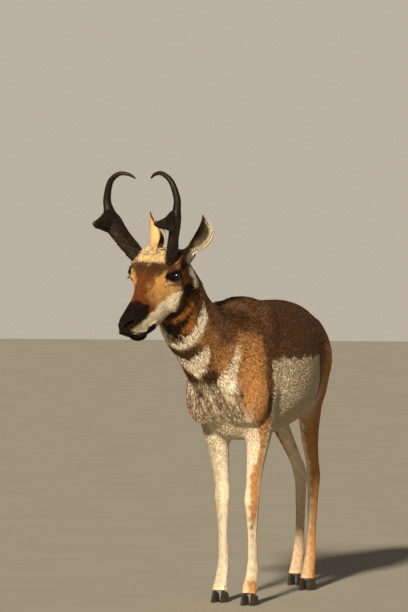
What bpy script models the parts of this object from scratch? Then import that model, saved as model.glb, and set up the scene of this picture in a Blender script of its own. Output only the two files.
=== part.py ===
"""A pronghorn buck that stands still and looks past its right shoulder, life size, in metres.

+X is forward, +Y is the animal's left, +Z is up, and the hooves stand on Z = 0.
The flesh is modelled as two soft forms, the body and the head, and parted with thin cuts.
"""

import math
import random

import bmesh
import bpy
import numpy as np
from mathutils import Euler, Matrix, Vector
from mathutils.bvhtree import BVHTree

# Gap that touching nodes keep, the wider one round legs, horns, ears and eyes, and the seed of the draws
GAP = 0.0003
SOCKET_GAP = 0.0006
SEED = 11

# Grain of the two soft forms before they are thinned
BODY_GRAIN = 0.0055
HEAD_GRAIN = 0.0028

# Rounds of smoothing that melt the trunk's masses into one another
TRUNK_ROUNDS = 38

# Torso stations: x, height of the back, height of the belly, half width, height where it is widest
TORSO = (
    (-0.452, 0.745, 0.650, 0.055, 0.700),
    (-0.430, 0.780, 0.600, 0.098, 0.696),
    (-0.370, 0.825, 0.566, 0.128, 0.684),
    (-0.290, 0.855, 0.540, 0.130, 0.672),
    (-0.190, 0.867, 0.509, 0.142, 0.658),
    (-0.080, 0.868, 0.484, 0.156, 0.648),
    (0.030, 0.869, 0.472, 0.160, 0.648),
    (0.130, 0.876, 0.463, 0.150, 0.650),
    (0.210, 0.884, 0.462, 0.132, 0.652),
    (0.280, 0.856, 0.476, 0.120, 0.660),
    (0.340, 0.812, 0.515, 0.108, 0.660),
    (0.385, 0.760, 0.560, 0.082, 0.655),
)

# Muscle masses of one side: centre, radii, tilt about Y in degrees
MUSCLES = (
    ((-0.330, 0.050, 0.728), (0.120, 0.072, 0.090), -10),
    ((-0.335, 0.066, 0.665), (0.108, 0.056, 0.155), -12),
    ((-0.412, 0.046, 0.690), (0.054, 0.048, 0.105), 0),
    ((0.235, 0.072, 0.735), (0.075, 0.050, 0.145), -24),
    ((0.245, 0.084, 0.610), (0.088, 0.046, 0.082), 0),
    ((0.326, 0.075, 0.600), (0.062, 0.052, 0.092), 0),
    ((0.355, 0.030, 0.600), (0.055, 0.056, 0.095), 20),
    ((-0.235, 0.082, 0.625), (0.090, 0.050, 0.085), -25),
)

# Neck stations: centre, reach to the nape, reach to the throat, half width
NECK = (
    (0.160, 0.000, 0.695, 0.150, 0.160, 0.115),
    (0.300, -0.012, 0.715, 0.143, 0.170, 0.112),
    (0.415, -0.043, 0.765, 0.101, 0.113, 0.089),
    (0.508, -0.068, 0.828, 0.088, 0.099, 0.082),
    (0.572, -0.069, 0.900, 0.073, 0.090, 0.071),
    (0.604, -0.076, 0.968, 0.050, 0.070, 0.050),
)

# Place of the head, at the hinge between skull and neck, and how it is turned
HEAD_AT = Vector((0.612, -0.080, 0.985))
HEAD_TURN = math.radians(-15.5)
HEAD_ROLL = math.radians(-4)
HEAD_DROP = math.radians(40)

# Head stations in its own frame, X to the nose: x, top, bottom, half width, height where it is widest
HEAD = (
    (-0.030, 0.030, -0.052, 0.044, -0.005),
    (0.000, 0.054, -0.084, 0.057, -0.010),
    (0.035, 0.068, -0.100, 0.064, -0.010),
    (0.075, 0.073, -0.104, 0.067, 0.002),
    (0.110, 0.068, -0.100, 0.061, 0.004),
    (0.145, 0.054, -0.098, 0.0445, -0.009),
    (0.185, 0.037, -0.097, 0.0340, -0.0185),
    (0.225, 0.032, -0.082, 0.0330, -0.021),
    (0.258, 0.029, -0.060, 0.0310, -0.0165),
    (0.280, 0.023, -0.046, 0.0280, -0.012),
)
# Sections of the skull are full, those of the muzzle draw in toward the bridge of the nose
SKULL_POWER = 2.2
BRIDGE_POWER = 1.8
BRIDGE_FROM = 0.10
BRIDGE_TO = 0.16
NOSE = ((0.2755, 0.0, -0.004), (0.026, 0.0245, 0.029))
CHIN = ((0.240, 0.0, -0.061), (0.030, 0.023, 0.018))
ORBIT = ((0.086, 0.052, 0.029), (0.038, 0.026, 0.030))
JAW = ((0.072, 0.042, -0.050), (0.068, 0.027, 0.050))
EAR_ROOT = ((-0.016, 0.048, 0.009), (0.028, 0.022, 0.026))
HORN_ROOT = ((0.058, 0.046, 0.050), (0.040, 0.032, 0.030))
CROWN = ((0.050, 0.0, 0.062), (0.040, 0.040, 0.020))

# Eye of the left side in the head's frame; the opening between its lids is a long oval
EYE_AT = Vector((0.088, 0.056, 0.027))
EYE_RADIUS = 0.0240
EYE_FACES = Vector((0.40, 0.90, 0.18)).normalized()
EYE_LONG = 0.0225
EYE_TALL = 0.0135
LID = 0.0016
LID_ROLL = 0.0028

# Lines that are pressed into the left half of the head
MOUTH_LINE = (
    (0.301, 0.000, -0.013),
    (0.294, 0.014, -0.017),
    (0.281, 0.023, -0.026),
    (0.262, 0.028, -0.037),
    (0.236, 0.030, -0.048),
    (0.212, 0.029, -0.057),
    (0.198, 0.029, -0.062),
)
MOUTH_DEPTH = 0.0036
MOUTH_WIDTH = 0.0026
LIP_SWELL = 0.0016
LIP_OFFSET = 0.0065
NOSTRIL_LINE = (
    (0.295, 0.009, 0.008),
    (0.284, 0.017, 0.012),
    (0.271, 0.022, 0.008),
)
NOSTRIL_DEPTH = 0.0075
NOSTRIL_WIDTH = 0.0034
LIP_CLEFT = ((0.304, 0.0, 0.004), (0.301, 0.0, -0.012))
CLEFT_DEPTH = 0.0022

# Horn of the left side in an upright frame turned with the head, from its foot: ahead, outward, up,
# half width along the head, half width across it
HORN_FOOT = Vector((0.060, 0.057, 0.066))
HORN = (
    (-0.003, -0.008, -0.011, 0.020, 0.0125),
    (0.004, 0.000, 0.000, 0.025, 0.0150),
    (0.034, 0.026, 0.046, 0.027, 0.0145),
    (0.056, 0.048, 0.092, 0.030, 0.0140),
    (0.062, 0.055, 0.124, 0.0160, 0.0115),
    (0.066, 0.058, 0.156, 0.0112, 0.0098),
    (0.072, 0.043, 0.202, 0.0090, 0.0080),
    (0.073, 0.014, 0.224, 0.0072, 0.0064),
    (0.066, -0.014, 0.222, 0.0052, 0.0048),
    (0.059, -0.032, 0.211, 0.0022, 0.0022),
)
# Degrees that the flat of the beam is turned outward from the head's own way
HORN_TOE = 24.0
# Prong of the same horn: ahead, outward, up, half height, half thickness
PRONG = (
    (0.052, 0.047, 0.090, 0.034, 0.0115),
    (0.080, 0.051, 0.092, 0.030, 0.0115),
    (0.110, 0.051, 0.087, 0.018, 0.0105),
    (0.138, 0.047, 0.084, 0.0110, 0.0090),
    (0.156, 0.043, 0.086, 0.0060, 0.0055),
)
# The left sheath stands a little taller than the right one
HORN_LIFT = {"left": 0.008, "right": 0.0}

# Ear: foot in the head's frame, then in an upright frame turned with the head its way to the tip
EAR_FOOT = Vector((-0.022, 0.056, 0.014))
EAR_RISE = Vector((-0.016, 0.030, 0.104))
EAR_WIDTH = {"left": 0.0255, "right": 0.0290}
# How soon each leaf narrows toward its tip
EAR_POINT = {"left": 0.90, "right": 0.70}
EAR_WALL = 0.0036
# Where the ear starts under the skin, as a share of its height
EAR_ROOT_SHARE = -0.18
# Degrees that each ear's cup is turned from straight ahead to its outer side
EAR_CUP = {"left": 15.0, "right": 255.0}
# How far its middle bends outward
EAR_BOW = {"left": 0.027, "right": -0.020}

# Foreleg stations: centre, half length along X, half width along Y
FORELEG = (
    (0.250, 0.074, 0.640, 0.070, 0.038),
    (0.244, 0.078, 0.560, 0.068, 0.044),
    (0.234, 0.074, 0.490, 0.054, 0.040),
    (0.235, 0.067, 0.410, 0.037, 0.028),
    (0.240, 0.062, 0.340, 0.025, 0.0220),
    (0.246, 0.060, 0.300, 0.0265, 0.0245),
    (0.243, 0.060, 0.262, 0.0215, 0.0195),
    (0.240, 0.060, 0.200, 0.0165, 0.0152),
    (0.237, 0.060, 0.130, 0.0170, 0.0158),
    (0.236, 0.060, 0.098, 0.0220, 0.0195),
    (0.243, 0.060, 0.080, 0.0185, 0.0180),
)
# Hindleg stations
HINDLEG = (
    (-0.325, 0.070, 0.720, 0.100, 0.048),
    (-0.305, 0.074, 0.610, 0.090, 0.044),
    (-0.325, 0.072, 0.520, 0.060, 0.036),
    (-0.372, 0.068, 0.440, 0.040, 0.027),
    (-0.424, 0.066, 0.375, 0.028, 0.0205),
    (-0.448, 0.064, 0.335, 0.0315, 0.0215),
    (-0.450, 0.063, 0.290, 0.0230, 0.0185),
    (-0.440, 0.062, 0.205, 0.0172, 0.0155),
    (-0.429, 0.062, 0.130, 0.0178, 0.0162),
    (-0.426, 0.062, 0.100, 0.0225, 0.0195),
    (-0.419, 0.062, 0.080, 0.0185, 0.0180),
)
HOCK_POINT = ((-0.467, 0.064, 0.356), (0.016, 0.013, 0.024))

# How far each foot stands from its leg's own stations, along X and along Y
STANCE = {
    "foreleg_left": (0.030, -0.002),
    "foreleg_right": (-0.060, -0.004),
    "hindleg_left": (0.055, -0.008),
    "hindleg_right": (-0.135, -0.028),
}

# Heights between which a leg takes up the place of its foot
SWING_HEIGHTS = (0.30, 0.70)

# Toes: way of a digit from the fetlock to the top of the hoof, and the hoof itself
DIGIT = (
    (0.004, 0.0085, 0.094, 0.0170, 0.0105),
    (0.016, 0.0095, 0.072, 0.0150, 0.0105),
    (0.029, 0.0115, 0.050, 0.0175, 0.0112),
    (0.034, 0.0125, 0.030, 0.0200, 0.0115),
)
HOOF_AHEAD = 0.038
HOOF_HALF_LENGTH = 0.036
HOOF_HALF_WIDTH = 0.0130
HOOF_APART = 0.0146
HOOF_FRONT_TOP = 0.040
HOOF_HEEL_TOP = 0.022

# Cuts between the nodes: a point and a direction
NECK_CUT = (Vector((0.320, 0.0, 0.800)), Vector((0.88, -0.10, 0.47)).normalized())
HEAD_CUT = (Vector((-0.050, 0.0, -0.012)), Vector((0.64, 0.0, 0.77)).normalized())

# Tail: centre, half height, half width, from inside the rump to the tip
TAIL = (
    (-0.420, 0.0, 0.800, 0.018, 0.022),
    (-0.462, 0.0, 0.792, 0.018, 0.024),
    (-0.486, 0.0, 0.762, 0.015, 0.024),
    (-0.497, 0.0, 0.725, 0.011, 0.018),
    (-0.500, 0.0, 0.695, 0.005, 0.008),
)

# Faces that each thinned form keeps
TORSO_DENSITY = 3000
LEG_DENSITY = 3500
NECK_DENSITY = 3000
HEAD_DENSITY = 3200

# How strongly the fine places of the head resist thinning
THIN_CARE = 0.00006

# Locks
MANE_LOCKS = 30
# Stretch of the neck's line that the mane covers, as shares of the way from withers to skull
MANE_FROM = 0.26
MANE_TO = 0.97
# Rows of that line from a lock's root to its tip
MANE_ROWS = 15
CROWN_LOCKS = 14
TAIL_LOCKS = 8

COAT_BROWN = (0.30, 0.17, 0.10)
COAT_PALE = (0.72, 0.66, 0.56)
FACE_RUST = (0.42, 0.20, 0.09)
EAR_TAN = (0.46, 0.30, 0.18)
HORN_BLACK = (0.035, 0.030, 0.028)
EYE_BLACK = (0.010, 0.008, 0.007)
HOOF_BLACK = (0.040, 0.035, 0.032)


def finish(name, colour, roughness):
    """A plain Principled material."""
    material = bpy.data.materials.new(name)
    material.use_nodes = True
    shader = material.node_tree.nodes["Principled BSDF"]
    shader.inputs["Base Color"].default_value = (*colour, 1.0)
    shader.inputs["Roughness"].default_value = roughness
    shader.inputs["Metallic"].default_value = 0.0
    return material


def mirrored(row, side):
    """A centre, or a row that starts with one, on the left (+1) or the right (-1)."""
    row = list(row)
    row[1] *= side
    return row


def through(stations, per_span):
    """Rows of a smooth curve through the stations, with per_span rows from each to the next."""
    rows = np.array(stations, float)
    padded = np.vstack([2 * rows[0] - rows[1], rows, 2 * rows[-1] - rows[-2]])
    found = []
    for a, b, c, d in zip(padded, padded[1:], padded[2:], padded[3:]):
        for t in np.arange(per_span) / per_span:
            bend = (2 * a - 5 * b + 4 * c - d) * t**2 + (3 * b - a - 3 * c + d) * t**3
            found.append(0.5 * (2 * b + (c - a) * t + bend))
    return np.array([*found, rows[-1]])


def oval(centre, side, up, width, above, below, sides, power=2.3, roof=None):
    """A ring of points: a rounded oval whose upper and lower halves may differ, also in how full they are."""
    angles = np.linspace(0, 2 * math.pi, sides, endpoint=False)
    cosine = np.cos(angles)
    sine = np.sin(angles)
    bend = 2 / np.where(sine > 0, roof or power, power)
    x = np.sign(cosine) * np.abs(cosine) ** bend * width
    y = np.sign(sine) * np.abs(sine) ** bend * np.where(sine > 0, above, below)
    return np.asarray(centre) + np.outer(x, side) + np.outer(y, up)


def add_loft(form, rings, fan=True):
    """Adds a closed skin over rings of equal count; a hollowed section's ends take one face, not a fan."""
    rows = [[form.verts.new(point) for point in ring] for ring in rings]
    count = len(rows[0])
    for lower, upper in zip(rows, rows[1:]):
        for i in range(count):
            j = (i + 1) % count
            form.faces.new((lower[i], lower[j], upper[j], upper[i]))
    for row, turn in ((rows[0], 1), (rows[-1], -1)):
        if not fan:
            form.faces.new(row[::-turn])
            continue
        middle = form.verts.new(sum((v.co for v in row), Vector()) / count)
        for i in range(count):
            form.faces.new((row[i], middle, row[(i + 1) % count])[::turn])


def add_ball(form, centre, radii, tilt=0.0, steps=(20, 12)):
    """Adds an ellipsoid, tilted about Y by degrees."""
    turn = Euler((0.0, math.radians(tilt), 0.0))
    place = Matrix.LocRotScale(Vector(centre), turn, Vector(radii))
    bmesh.ops.create_uvsphere(form, u_segments=steps[0], v_segments=steps[1], radius=1.0, matrix=place)


def node(name, form, material=None):
    """A new object from a bmesh, with all its faces turned outwards."""
    bmesh.ops.recalc_face_normals(form, faces=form.faces)
    mesh = bpy.data.meshes.new(name)
    form.to_mesh(mesh)
    form.free()
    made = bpy.data.objects.new(name, mesh)
    if material:
        mesh.materials.append(material)
    bpy.context.scene.collection.objects.link(made)
    return made


def drop(*unwanted):
    for item in unwanted:
        bpy.data.objects.remove(item)


def settled(item):
    """Applies an object's modifiers."""
    bpy.context.view_layer.update()
    graph = bpy.context.evaluated_depsgraph_get()
    mesh = bpy.data.meshes.new_from_object(item.evaluated_get(graph))
    item.modifiers.clear()
    item.data = mesh
    return item


def copied(item, name):
    made = bpy.data.objects.new(name, item.data.copy())
    bpy.context.scene.collection.objects.link(made)
    return made


def points_of(item):
    found = np.empty(len(item.data.vertices) * 3)
    item.data.vertices.foreach_get("co", found)
    return found.reshape(-1, 3)


def normals_of(item):
    found = np.empty(len(item.data.vertices) * 3, np.float32)
    item.data.vertex_normals.foreach_get("vector", found)
    return found.reshape(-1, 3).astype(float)


def move_points(item, points):
    item.data.vertices.foreach_set("co", np.asarray(points, float).ravel())
    item.data.update()


def weigh(item, name, weights):
    """A vertex group from one weight for each point, rounded to a tenth."""
    group = item.vertex_groups.new(name=name)
    steps = np.round(np.asarray(weights) * 10).astype(int)
    for step in np.unique(steps):
        group.add([int(i) for i in np.flatnonzero(steps == step)], step / 10, "REPLACE")


def ramp(values, start, end):
    """0 before start, 1 after end, smooth between them."""
    t = np.clip((np.asarray(values, float) - start) / (end - start), 0, 1)
    return t * t * (3 - 2 * t)


def remeshed(item, grain):
    """Fuses overlapping closed shapes into one even skin."""
    change = item.modifiers.new("fuse", "REMESH")
    change.mode = "VOXEL"
    change.voxel_size = grain
    return settled(item)


def smoothed(item, weights, rounds):
    weigh(item, "smooth", weights)
    change = item.modifiers.new("smooth", "SMOOTH")
    change.factor = 0.5
    change.iterations = rounds
    change.vertex_group = "smooth"
    settled(item)
    item.vertex_groups.clear()
    return item


def thinned(item, name, faces, plain=None):
    """A copy with about this many triangles; where plain is low, more of them stay."""
    made = copied(item, name)
    triangles = sum(len(face.vertices) - 2 for face in made.data.polygons)
    if plain is not None:
        weigh(made, "plain", plain)
    change = made.modifiers.new("thin", "DECIMATE")
    change.ratio = faces / triangles
    if plain is not None:
        change.vertex_group = "plain"
        change.vertex_group_factor = THIN_CARE
    settled(made)
    made.vertex_groups.clear()
    return made


def cut_away(item, point, direction):
    """Removes all that lies ahead of a plane, and closes the cut."""
    form = bmesh.new()
    form.from_mesh(item.data)
    whole = form.verts[:] + form.edges[:] + form.faces[:]
    bmesh.ops.bisect_plane(form, geom=whole, plane_co=point, plane_no=direction, clear_outer=True)
    rim = [edge for edge in form.edges if edge.is_boundary]
    bmesh.ops.holes_fill(form, edges=rim, sides=0)
    bmesh.ops.triangulate(form, faces=form.faces)
    form.to_mesh(item.data)
    form.free()
    return item


def grown(item, name, distance=GAP):
    """A copy pushed outwards, which cuts a neighbour clear of the item."""
    made = copied(item, name)
    move_points(made, points_of(item) + normals_of(item) * distance)
    return made


def largest(item):
    """Keeps only the largest closed surface, found by walking from face to face."""
    form = bmesh.new()
    form.from_mesh(item.data)
    left = set(form.faces)
    shells = []
    while left:
        front = [left.pop()]
        shell = set(front)
        while front:
            for edge in front.pop().edges:
                for face in edge.link_faces:
                    if face in left:
                        left.discard(face)
                        shell.add(face)
                        front.append(face)
        shells.append(shell)
    kept = max(shells, key=len)
    bmesh.ops.delete(form, geom=[face for face in form.faces if face not in kept], context="FACES")
    form.to_mesh(item.data)
    form.free()
    return item


def combined(item, others, operation, solver="EXACT"):
    """One Boolean with all the others, which are then removed."""
    group = bpy.data.collections.new("tools")
    bpy.context.scene.collection.children.link(group)
    for other in others:
        group.objects.link(other)
    change = item.modifiers.new("join", "BOOLEAN")
    change.operation = operation
    change.solver = solver
    change.operand_type = "COLLECTION"
    change.collection = group
    settled(item)
    drop(*others)
    bpy.data.collections.remove(group)
    return largest(item)


def upright_rings(stations, sides, per_span):
    """Level rings: a leg's sections, from rows of centre, half length and half width."""
    along = Vector((1, 0, 0))
    across = Vector((0, 1, 0))
    rows = through(stations, per_span)
    return [oval(row[:3], along, across, row[3], row[4], row[4], sides, 2.1) for row in rows]


def stood(row, leg):
    """A station of a leg moved as its foot stands: not at the hip, fully at the ground."""
    ahead, outward = STANCE[leg]
    side = 1 if leg.endswith("left") else -1
    share = float(1 - ramp(row[2], *SWING_HEIGHTS))
    x, y, z, *rest = row
    return (x + ahead * share, side * (y + outward * share), z, *rest)


def foot_of(leg):
    """The middle of a foot on the ground, under the leg's last station."""
    rows = FORELEG if leg.startswith("fore") else HINDLEG
    x, y, _ = stood((rows[-1][0] - 0.004, rows[-1][1], 0.0), leg)
    return Vector((x, y, 0.0))


def leg_rows(leg):
    rows = FORELEG if leg.startswith("fore") else HINDLEG
    return [stood(row, leg) for row in rows]


def add_leg(form, leg):
    """Adds a leg from inside the torso to its two digits."""
    add_loft(form, upright_rings(leg_rows(leg), 20, 3))
    foot = foot_of(leg)
    for way in (1, -1):
        rows = [(foot.x + x, foot.y + way * y, z, a, b) for x, y, z, a, b in DIGIT]
        add_loft(form, upright_rings(rows, 14, 3))
    if leg.startswith("hind"):
        centre, radii = HOCK_POINT
        add_ball(form, stood(centre, leg), radii, 12)


def neck_rings(stations, per_span, sides=28):
    """Sections square to the neck's own line, tallest toward nape and throat."""
    rows = through(stations, per_span)
    middles = rows[:, :3]
    ways = np.gradient(middles, axis=0)
    rings = []
    for row, way in zip(rows, ways):
        ahead = Vector(way).normalized()
        side = Vector((0, 0, 1)).cross(ahead).normalized()
        nape = ahead.cross(side)
        rings.append(oval(row[:3], side, nape, row[5], row[3], row[4], sides, 2.15))
    return rings


def body_form():
    """Torso, neck and legs as one soft skin."""
    form = bmesh.new()
    rings = []
    for x, top, bottom, half, widest in through(TORSO, 3):
        rings.append(oval((x, 0, widest), (0, 1, 0), (0, 0, 1), half, top - widest, widest - bottom, 36, 2.25))
    add_loft(form, rings)
    for centre, radii, tilt in MUSCLES:
        for side in (1, -1):
            add_ball(form, mirrored(centre, side), radii, tilt)
    add_loft(form, neck_rings(NECK, 4))
    for leg in STANCE:
        add_leg(form, leg)
    body = remeshed(node("body_form", form), BODY_GRAIN)
    height = points_of(body)[:, 2]
    trunk = ramp(height, 0.36, 0.52)
    smoothed(body, trunk, TRUNK_ROUNDS)
    return smoothed(body, np.full(len(height), 0.6), 2)


def head_place():
    """The head's frame in the world."""
    turn = Matrix.Rotation(HEAD_TURN, 4, "Z") @ Matrix.Rotation(HEAD_ROLL, 4, "X")
    return Matrix.Translation(HEAD_AT) @ turn @ Matrix.Rotation(HEAD_DROP, 4, "Y")


def upright_place(local):
    """An upright frame turned with the head, at a point of the head's frame."""
    return Matrix.Translation(head_place() @ local) @ Matrix.Rotation(HEAD_TURN, 4, "Z")


def distance_to(points, line):
    """Distance of each point from a line of a few straight runs."""
    best = np.full(len(points), np.inf)
    for a, b in zip(np.array(line), np.array(line)[1:]):
        run = b - a
        t = np.clip((points - a) @ run / (run @ run), 0, 1)
        best = np.minimum(best, np.linalg.norm(points - (a + t[:, None] * run), axis=1))
    return best


def surface_of(item):
    form = bmesh.new()
    form.from_mesh(item.data)
    tree = BVHTree.FromBMesh(form)
    form.free()
    return tree


def laid_on(tree, line):
    """The line with more points, each moved to the nearest place of the surface."""
    return [tree.find_nearest(Vector(point))[0] for point in through(line, 5)]


def eye_axes():
    """Along the opening, up across it, and out of the left eye."""
    out = EYE_FACES
    along = Vector((0.82, 0, 0.50))
    along = (along - out * along.dot(out)).normalized()
    return np.array(along), np.array(out.cross(along)), np.array(out)


def press_features(head):
    """Mouth line, lips, nostrils and lids, worked on the left half and its mirror image at once."""
    points = points_of(head)
    normals = normals_of(head)
    side = np.where(points[:, 1] < 0, -1.0, 1.0)[:, None] * (0, 1, 0) + (1, 0, 1)
    half = points * side
    tree = surface_of(head)
    mouth = distance_to(half, laid_on(tree, MOUTH_LINE))
    nostril = distance_to(half, laid_on(tree, NOSTRIL_LINE))
    cleft = distance_to(half, laid_on(tree, LIP_CLEFT))
    push = -MOUTH_DEPTH * np.exp(-((mouth / MOUTH_WIDTH) ** 2))
    push += LIP_SWELL * np.exp(-(((mouth - LIP_OFFSET) / 0.004) ** 2))
    push -= NOSTRIL_DEPTH * np.exp(-((nostril / NOSTRIL_WIDTH) ** 2))
    push -= CLEFT_DEPTH * np.exp(-((cleft / MOUTH_WIDTH) ** 2))
    half = half + normals * side * push[:, None]
    along, up, out = eye_axes()
    offset = half - np.array(EYE_AT)
    u = offset @ along
    v = offset @ up
    h = offset @ out
    ring = np.hypot(u / EYE_LONG, v / EYE_TALL)
    ball = np.sqrt(np.maximum(EYE_RADIUS**2 - u**2 - v**2, 0.0))
    target = np.where(ring < 1, ball - 0.006, ball + LID)
    target = np.where((ball <= 0) & (ring >= 1), h, target)
    weight = np.where(h > 0, 1 - ramp(ring, 1.15, 1.75), 0.0)
    half = half + out * ((target - h) * weight)[:, None]
    move_points(head, half * side)
    near = np.minimum(mouth - 0.006, nostril - 0.006)
    near = np.minimum(near, np.where(h > 0, (ring - 1.6) * 0.02, 1.0))
    return 0.1 + 0.9 * ramp(near, 0.0, 0.03)


def lid_ring(side):
    """Rolled rim of both lids, a closed ring that follows the eyeball round the opening."""
    along, up, out = eye_axes()
    form = bmesh.new()
    loops = []
    for turn in np.linspace(0, 2 * math.pi, 18, endpoint=False):
        u = EYE_LONG * math.cos(turn)
        v = EYE_TALL * math.sin(turn)
        outward = along * math.cos(turn) / EYE_LONG + up * math.sin(turn) / EYE_TALL
        outward = outward / np.linalg.norm(outward)
        middle = np.array(EYE_AT) + along * u + up * v + out * math.sqrt(EYE_RADIUS**2 - u**2 - v**2)
        middle = middle + outward * LID_ROLL * 0.7
        loop = []
        for angle in np.linspace(0, 2 * math.pi, 6, endpoint=False):
            point = middle + LID_ROLL * (outward * math.cos(angle) + out * math.sin(angle))
            loop.append(form.verts.new(mirrored(point, side)))
        loops.append(loop)
    for loop, after in zip(loops, loops[1:] + loops[:1]):
        for i in range(6):
            j = (i + 1) % 6
            form.faces.new((loop[i], loop[j], after[j], after[i]))
    bmesh.ops.triangulate(form, faces=form.faces)
    return node("lids", form)


def head_form():
    """The head with the top of the neck, in the head's own frame."""
    form = bmesh.new()
    rings = []
    for x, top, bottom, half, widest in through(HEAD, 3):
        roof = SKULL_POWER + (BRIDGE_POWER - SKULL_POWER) * float(ramp(x, BRIDGE_FROM, BRIDGE_TO))
        sizes = (half, top - widest, widest - bottom)
        rings.append(oval((x, 0, widest), (0, 1, 0), (0, 0, 1), *sizes, 32, SKULL_POWER, roof))
    add_loft(form, rings)
    for centre, radii in (NOSE, CHIN, CROWN):
        add_ball(form, centre, radii)
    for centre, radii in (ORBIT, JAW, EAR_ROOT, HORN_ROOT):
        for side in (1, -1):
            add_ball(form, mirrored(centre, side), radii)
    back = head_place().inverted()
    rings = [[back @ Vector(point) for point in ring] for ring in neck_rings(NECK[2:], 4)]
    add_loft(form, rings)
    head = remeshed(node("head_form", form), HEAD_GRAIN)
    points = points_of(head)
    behind = ramp(-points[:, 2] - 0.4 * points[:, 0], 0.06, 0.16)
    smoothed(head, 0.35 + 0.65 * behind, 14)
    plain = press_features(head)
    smoothed(head, np.full(len(plain), 0.5), 1)
    return head, plain


def lock_rings(root, way, out, length, width, thick, lift):
    """Flat tapered sections of one lock that leaves its root and bends back along its way."""
    across = out.cross(way).normalized()
    rings = []
    for share, size in ((-0.30, 0.75), (0.12, 1.0), (0.45, 0.90), (0.75, 0.55), (1.0, 0.10)):
        rise = lift * math.sin(math.pi * min(max(share, 0.0), 1.0) * 0.62)
        sink = -0.45 * thick * 3 if share < 0 else 0.0
        middle = root + way * (length * share) + out * (rise + sink)
        wide = across * (width * size)
        tall = out * (thick * size)
        rings.append([middle + wide, middle + tall, middle - wide, middle - tall])
    return rings


def lock_object(name, rings):
    form = bmesh.new()
    add_loft(form, rings)
    bmesh.ops.triangulate(form, faces=form.faces)
    return node(name, form)


def nape_at(tree, row, way, lean):
    """Where the skin of the nape lies over one row of the neck's line, and the way out of it."""
    ahead = Vector(way).normalized()
    side = Vector((0, 0, 1)).cross(ahead).normalized()
    hit, out, _, _ = tree.ray_cast(Vector(row[:3]), (ahead.cross(side) + side * lean).normalized())
    return hit, out


def mane(neck, draw):
    """Locks in staggered rows along the nape, each lying back to where the skin is a lock's length behind."""
    tree = surface_of(neck)
    rows = through(NECK[1:5], 40)
    ways = np.gradient(rows[:, :3], axis=0)
    made = []
    for index in range(MANE_LOCKS):
        share = MANE_FROM + (MANE_TO - MANE_FROM) * (index + 0.5) / MANE_LOCKS
        at = int(share * (len(rows) - 1))
        lean = (index % 3 - 1) * 0.17 + draw.uniform(-0.05, 0.05)
        hit, out = nape_at(tree, rows[at], ways[at], lean)
        behind, _ = nape_at(tree, rows[at - MANE_ROWS], ways[at - MANE_ROWS], lean * draw.uniform(0.8, 1.5))
        if hit is None or behind is None:
            continue
        way = (behind - hit).normalized()
        root = hit - out * 0.003
        length = draw.uniform(0.046, 0.056)
        rings = lock_rings(root, way, out, length, 0.011, 0.0045, draw.uniform(0.004, 0.006))
        made.append(lock_object(f"mane_{index}", rings))
    return made


def crown(head, draw):
    """Tousled locks of the crown, between the horns, in the head's frame."""
    tree = surface_of(head)
    made = []
    for index in range(CROWN_LOCKS):
        column = index % 5 - 2
        line = index // 5
        x = 0.078 - 0.030 * line + draw.uniform(-0.004, 0.004)
        y = 0.0125 * column + draw.uniform(-0.003, 0.003) + 0.003 * (line % 2)
        hit, out, _, _ = tree.ray_cast(Vector((x, y, 0.2)), Vector((0, 0, -1)))
        if hit is None:
            continue
        way = Vector((-1, 0.22 * column * 0.5 + draw.uniform(-0.25, 0.25), 0.0))
        way = (way - out * way.dot(out)).normalized()
        root = hit - out * 0.002
        length = draw.uniform(0.030, 0.038)
        rings = lock_rings(root, way, out, length, 0.0085, 0.004, draw.uniform(0.006, 0.010))
        made.append(lock_object(f"crown_{index}", rings))
    return made


def horn(side, material):
    """Sheath with its forward prong, its foot sunk in the head."""
    place = upright_place(Vector(mirrored(HORN_FOOT, side)))
    rows = through(HORN, 2)
    ways = np.gradient(rows[:, :3], axis=0)
    rings = []
    toe = math.radians(HORN_TOE)
    flat = Vector((math.cos(toe), math.sin(toe), 0))
    for row, way in zip(rows, ways):
        along = Vector(way).normalized()
        ahead = (flat - along * along.dot(flat)).normalized()
        out = along.cross(ahead)
        rings.append(oval(row[:3], ahead, out, row[3], row[4], row[4], 12, 2.0))
    form = bmesh.new()
    add_loft(form, rings)
    beam = node("beam", form)
    form = bmesh.new()
    rings = [oval(r[:3], (0, 0, 1), (0, 1, 0), r[3], r[4], r[4], 10, 2.0) for r in through(PRONG, 2)]
    add_loft(form, rings)
    combined(beam, [node("prong", form)], "UNION")
    name = "left" if side > 0 else "right"
    points = points_of(beam)
    points[:, 2] += HORN_LIFT[name] * ramp(points[:, 2], 0.0, 0.08)
    made = turned_out(beam, [place @ Vector(mirrored(p, side)) for p in points], side)
    made.name = "horn_" + name
    made.data.materials.append(material)
    return made


def turned_out(item, points, side):
    """Moves an object's points; a mirrored one has its faces turned round."""
    move_points(item, points)
    if side < 0:
        item.data.flip_normals()
    return item


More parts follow.
